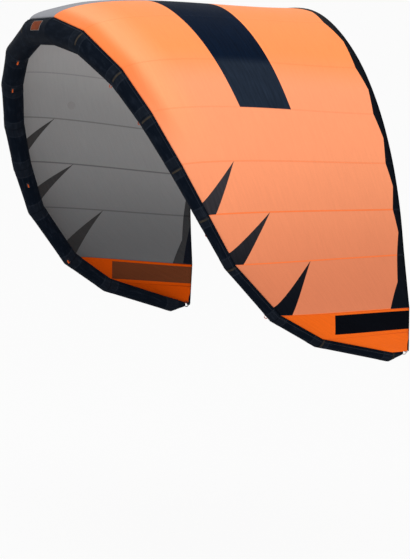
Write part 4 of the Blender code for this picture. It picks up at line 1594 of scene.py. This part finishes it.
# %% Tip loops
TIP_LOOP_RADIUS, TIP_LOOP_CORD, TIP_LOOP_GAP = 0.020, 0.004, 0.0003
TIP_CORD_SHARE = 0.95
TIP_LOOP_STEPS, KNOT_STEPS, KNOT_SIZE = 36, 48, 0.0042
TIP_CORDS = {"right": cord_finish("white_tip_cord", paint(186, 186, 184), paint(238, 238, 236), 0.0036),
             "left": cord_finish("navy_tip_cord", paint(13, 17, 24), paint(40, 46, 57), 0.0036)}
for side_name, side in SIDES:
    end = place(CENTRES[-1], side)
    behind = (end - place(CENTRES[-2], side)).normalized()
    sideways = Vector((0.0, 0.0, 1.0)).cross(behind).normalized()
    upright = behind.cross(sideways)
    foot = end + behind * (TIP_LOOP_GAP + TIP_LOOP_CORD)
    path = []
    for step in range(TIP_LOOP_STEPS):
        angle = 2.0 * math.pi * step / TIP_LOOP_STEPS
        back = behind * (TIP_LOOP_RADIUS * (1.0 - math.cos(angle)))
        path.append(foot + back + upright * (TIP_LOOP_RADIUS * math.sin(angle)))
    knot = []
    for step in range(KNOT_STEPS):
        angle = 2.0 * math.pi * step / KNOT_STEPS
        out = math.sin(angle) + 2.0 * math.sin(2.0 * angle)
        aside = math.cos(angle) - 2.0 * math.cos(2.0 * angle)
        trefoil = behind * out + sideways * aside - upright * math.sin(3.0 * angle)
        knot.append(path[TIP_LOOP_STEPS // 2] + trefoil * KNOT_SIZE)
    tip_loop = bead("tip_loop_%s_cord" % side_name, [path, knot], TIP_LOOP_CORD * TIP_CORD_SHARE,
                    TIP_CORDS[side_name], "tip_loop_" + side_name, 10, True)
    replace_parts(tip_loop, "tip_loop_" + side_name)

# %% [markdown]
# ## The inflation valve
# The valve is moulded plastic: a base sewn into the tube, a turning insert with a rubber one-way
# flap, and a cap that opens on a strap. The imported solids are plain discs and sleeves, so each one
# gets a moulding of the same size in its place: a stepped flange, grip notches, a plug and a pull
# tab on the cap, and a pinned hinge where the strap holds it. Round shapes are spun from a profile,
# as on a lathe, and the finish has a fine grain and slightly worn edges.


# %% Plastic and rubber
def moulded(name, dark, paler, rough, grain_scale=1400.0):
    """Moulded plastic or rubber with a fine grain and slightly worn places."""
    plastic = Finish(name, Specular_IOR_Level=0.45)
    grain = plastic.noise(plastic.here(), grain_scale, 2.0)
    wear = plastic.noise(plastic.here(), 160.0, 4.0, 0.65)
    plastic.set("Base Color", wear.fade(0.5, 0.8).mix(dark, paler))
    plastic.set("Roughness", rough + (wear - 0.5) * 0.25)
    plastic.set("Normal", plastic.bump(grain, 0.35, 0.0004))
    return plastic.material


BASE_PLASTIC = moulded("valve_base_plastic", paint(24, 25, 27), paint(44, 45, 48), 0.42)
INSERT_PLASTIC = moulded("valve_insert_plastic", paint(38, 39, 42), paint(62, 63, 66), 0.38)
CAP_PLASTIC = moulded("valve_cap_plastic", paint(22, 23, 25), paint(48, 49, 52), 0.40)
STRAP_RUBBER = moulded("cap_strap_rubber", paint(28, 28, 29), paint(44, 44, 45), 0.62, 900.0)
FLAP_RUBBER = moulded("one_way_flap_rubber", paint(120, 121, 122), paint(142, 142, 143), 0.70, 900.0)
print("valve finishes: 5")


# %% A profile turned on a lathe
def turn_profile(maker, profile, grips=0, grip_depth=0.0, steps=48):
    """Spin (radius, height) points about the valve's axis. A radius of 0 closes the shape.

    A third number on a point is how deep the grip notches are there, from 0 to 1.
    """
    rings = []
    for radius, height, *grip in profile:
        ring = []
        for step in range(steps if radius > 0.0 else 1):
            angle = 2.0 * math.pi * step / steps
            notch = grip_depth * (0.5 + 0.5 * math.cos(grips * angle)) ** 2
            here = radius - sum(grip) * notch
            ring.append(maker.verts.new((here * math.cos(angle), here * math.sin(angle), height)))
        rings.append(ring)
    following = rings[1:] + ([rings[0]] if len(rings[0]) > 1 else [])
    for first, second in zip(rings, following):
        for step in range(steps):
            corners = [first[step % len(first)], first[(step + 1) % len(first)],
                       second[(step + 1) % len(second)], second[step % len(second)]]
            maker.faces.new(list(dict.fromkeys(corners)))


print("profiles are turned about the valve's axis")

# %% Bars and blocks
BAR_SIDES, BAR_END, BAR_END_SHARE = 24, 0.0003, 0.75


def round_bar(maker, centre, radius, first_y, last_y):
    """Short round bar along Y with softened ends."""
    rings = []
    for y, share in ((first_y, BAR_END_SHARE), (first_y + BAR_END, 1.0),
                     (last_y - BAR_END, 1.0), (last_y, BAR_END_SHARE)):
        ring = []
        for turn in turns_between(0.0, 360.0, BAR_SIDES)[:-1]:
            x = centre[0] + radius * share * math.cos(turn)
            ring.append(maker.verts.new((x, y, centre[1] + radius * share * math.sin(turn))))
        rings.append(ring)
    for first, second in zip(rings, rings[1:]):
        join_rings(maker, first, second)
    maker.faces.new(rings[0])
    maker.faces.new(rings[-1])


def soft_block(maker, low, high, bevel):
    """Block between two corners with rounded edges."""
    low, high = Vector(low), Vector(high)
    corners = bmesh.ops.create_cube(maker, size=1.0)["verts"]
    for corner in corners:
        corner.co = (low + high) / 2.0 + Vector([c * (h - l) for c, h, l in zip(corner.co, high, low)])
    edges = list({edge for corner in corners for edge in corner.link_edges})
    bmesh.ops.bevel(maker, geom=edges, offset=bevel, segments=3, profile=0.5, affect="EDGES")


print("bars have", BAR_SIDES, "sides")

# %% Onto the valve's flat spot
VALVE_DEGREES = 35.0


def valve_piece(name, maker, finish, node, body="kite"):
    """Put a shape made about the origin on the valve's flat spot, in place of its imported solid."""
    bmesh.ops.recalc_face_normals(maker, faces=maker.faces)
    for face in maker.faces:
        face.smooth = True
    bmesh.ops.transform(maker, matrix=valve_frame, verts=maker.verts)
    made = new_piece(name, maker, [finish], body)
    crisp(made, VALVE_DEGREES)
    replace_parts(made, node)
    print(name, len(made.data.polygons), "faces")


print("valve at", [round(value, 3) for value in valve_frame.translation])

# %% Base and insert
NECK, BORE, FLANGE = 0.0120, 0.0095, 0.0185
base_maker = bmesh.new()
turn_profile(base_maker, (
    (BORE, -0.0136), (BORE + 0.0004, -0.0140), (NECK - 0.0004, -0.0140), (NECK, -0.0136),
    (NECK, 0.0003), (FLANGE - 0.0005, 0.0003), (FLANGE, 0.0008), (FLANGE, 0.0016),
    (FLANGE - 0.0008, 0.0024), (FLANGE - 0.0024, 0.0026), (FLANGE - 0.0028, 0.0033),
    (NECK + 0.0008, 0.0033), (NECK, 0.0041), (NECK, 0.0095), (NECK - 0.0005, 0.0100),
    (BORE + 0.0004, 0.0100), (BORE, 0.0096)))
valve_piece("valve_base_moulding", base_maker, BASE_PLASTIC, "valve_base")
INSERT_OUT, INSERT_IN = 0.0092, 0.0062
insert_maker = bmesh.new()
turn_profile(insert_maker, (
    (INSERT_IN, -0.0077), (INSERT_IN + 0.0003, -0.0080), (INSERT_OUT - 0.0003, -0.0080),
    (INSERT_OUT, -0.0077), (INSERT_OUT, 0.0103), (NECK - 0.0004, 0.0103, 1.0), (NECK, 0.0107, 1.0),
    (NECK, 0.0121, 1.0), (NECK - 0.0004, 0.0125, 1.0), (INSERT_IN + 0.0005, 0.0125),
    (INSERT_IN, 0.0120)), grips=12, grip_depth=0.0009, steps=96)
valve_piece("valve_insert_moulding", insert_maker, INSERT_PLASTIC, "valve_insert", "valve_insert")

# %% One-way flap
FLAP_TOP, FLAP_RADIUS = -0.0083, 0.0074
HINGE_TAB = ((-0.0082, -0.0024, -0.0092), (-0.0066, 0.0024, FLAP_TOP))
flap_maker = bmesh.new()
turn_profile(flap_maker, (
    (0.0, FLAP_TOP), (FLAP_RADIUS - 0.0002, FLAP_TOP), (FLAP_RADIUS, -0.0085), (FLAP_RADIUS, -0.0089),
    (FLAP_RADIUS - 0.0004, -0.0092), (0.0040, -0.0093), (0.0, -0.0096)))
soft_block(flap_maker, *HINGE_TAB, 0.0002)
valve_piece("one_way_flap", flap_maker, FLAP_RUBBER, "valve_flap", "valve_flap")

# %% Strap with its hinge
CAP_HINGE = (0.0156, 0.0163)
KNUCKLE, KNUCKLE_WIDTH, PIN, PIN_END = 0.0013, 0.0018, 0.0006, 0.0043
strap_maker = bmesh.new()
turn_profile(strap_maker, (
    (0.0122, 0.0044), (0.0126, 0.0040), (0.0142, 0.0040), (0.0146, 0.0044),
    (0.0146, 0.0052), (0.0142, 0.0056), (0.0126, 0.0056), (0.0122, 0.0052)))
soft_block(strap_maker, (0.0144, -0.0040, 0.0040), (0.0168, 0.0040, 0.0143), 0.0006)
for first_y in (-0.0040, 0.0022):
    last_y = first_y + KNUCKLE_WIDTH
    soft_block(strap_maker, (0.0146, first_y, 0.0136), (0.0166, last_y, 0.0163), 0.0003)
    round_bar(strap_maker, CAP_HINGE, KNUCKLE, first_y, last_y)
round_bar(strap_maker, CAP_HINGE, PIN, -PIN_END, PIN_END)
valve_piece("cap_strap_and_pin", strap_maker, STRAP_RUBBER, "cap_strap")

# %% Cap
CAP, CAP_KNUCKLE_END = 0.0138, 0.0019
PULL_TAB = ((-0.0176, -0.0042, 0.0132), (-0.0126, 0.0042, 0.0148))
cap_maker = bmesh.new()
turn_profile(cap_maker, (
    (0.0, 0.0103), (0.0050, 0.0103), (0.0056, 0.0109), (0.0058, 0.0128),
    (CAP - 0.0004, 0.0128, 1.0), (CAP, 0.0132, 1.0), (CAP, 0.0148, 1.0), (CAP - 0.0008, 0.0156, 1.0),
    (CAP - 0.0022, 0.0158), (CAP - 0.0030, 0.0153), (0.0060, 0.0153), (0.0, 0.0156)),
    grips=24, grip_depth=0.0006, steps=96)
soft_block(cap_maker, (0.0128, -CAP_KNUCKLE_END, 0.0132), (0.0152, CAP_KNUCKLE_END, 0.0166), 0.0005)
round_bar(cap_maker, CAP_HINGE, KNUCKLE, -CAP_KNUCKLE_END, CAP_KNUCKLE_END)
soft_block(cap_maker, *PULL_TAB, 0.0006)
valve_piece("valve_cap_moulding", cap_maker, CAP_PLASTIC, "valve_cap", "valve_cap")

# %% [markdown]
# ## The flat size of the cloth
# A sheet has a cut size. The canopy was cut from panels that add up to its area, and lies stretched
# between the tube and the air, so its flat size is the front edge by the longest chord.

# %% Sheet
joint = ATTACH[:SEGMENTS + 1]
front_edge = 2.0 * sum((b - a).length for a, b in zip(joint, joint[1:]))
longest_chord = max(chord_length(index) for index in range(SEGMENTS + 1))
print("flat size:", round(front_edge, 2), "by", round(longest_chord, 2), "m")

# %% [markdown]
# ## Floor and light
# The kite hangs over a plain pale floor. Three large soft lamps, one above, one from the camera's
# side and one in front, and an even white room light it about as a bright studio does. The floor
# glows for the camera only, so that it looks white there and still shows the shadow.

# %% Floor
FLOOR_BELOW, FLOOR_RADIUS, FLOOR_SIDES, FLOOR_GLOW = 1.5, 600.0, 96, 0.88
pale = Finish("pale_floor", Roughness=0.9, Specular_IOR_Level=0.1)
pale.set("Base Color", (0.70, 0.70, 0.70))
to_camera = pale.start.node("ShaderNodeLightPath", {}, {})
glow = pale.start.node("ShaderNodeEmission", {}, {"Color": (1.0, 1.0, 1.0), "Strength": 1.0})
mixed = pale.start.node("ShaderNodeMixShader", {}, {0: to_camera * FLOOR_GLOW, 1: pale.start, 2: glow})
surface = pale.start.tree.nodes["Material Output"].inputs["Surface"]
pale.start.plug(surface, mixed)
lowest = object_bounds()[0][2]
floor_maker = bmesh.new()
bmesh.ops.create_circle(floor_maker, cap_ends=True, segments=FLOOR_SIDES, radius=FLOOR_RADIUS)
floor = mesh_object("studio_floor", floor_maker, [pale.material])
floor.location = (0.0, 0.0, lowest - FLOOR_BELOW)
print("floor at", round(floor.location.z, 2), "m")

# %% Room light
world = bpy.data.worlds.new("pale_room")
world.use_nodes = True
bpy.context.scene.world = world
room = world.node_tree.nodes["Background"]
room.inputs["Color"].default_value = (1.0, 1.0, 1.0, 1.0)
room.inputs["Strength"].default_value = 1.0
bpy.context.scene.view_settings.view_transform = "Standard"
print("room light set")


# %% Lamps
def soft_lamp(name, place_at, look_at, size, power):
    """A round area light that points at a place on the kite."""
    data = bpy.data.lights.new(name, "AREA")
    data.shape = "DISK"
    data.size = size
    data.energy = power
    lamp = bpy.data.objects.new(name, data)
    lamp.location = place_at
    lamp.rotation_euler = (Vector(look_at) - Vector(place_at)).to_track_quat("-Z", "Y").to_euler()
    bpy.context.scene.collection.objects.link(lamp)
    print(name, power, "W")


soft_lamp("overhead", (2.0, 1.0, 7.0), (0.0, 1.0, -1.0), 6.0, 105.0)
soft_lamp("camera_side", (10.0, -6.0, 3.0), (0.0, 1.0, -1.2), 5.0, 130.0)
soft_lamp("front", (4.0, -8.0, 5.0), (0.0, 0.5, -0.8), 5.0, 195.0)
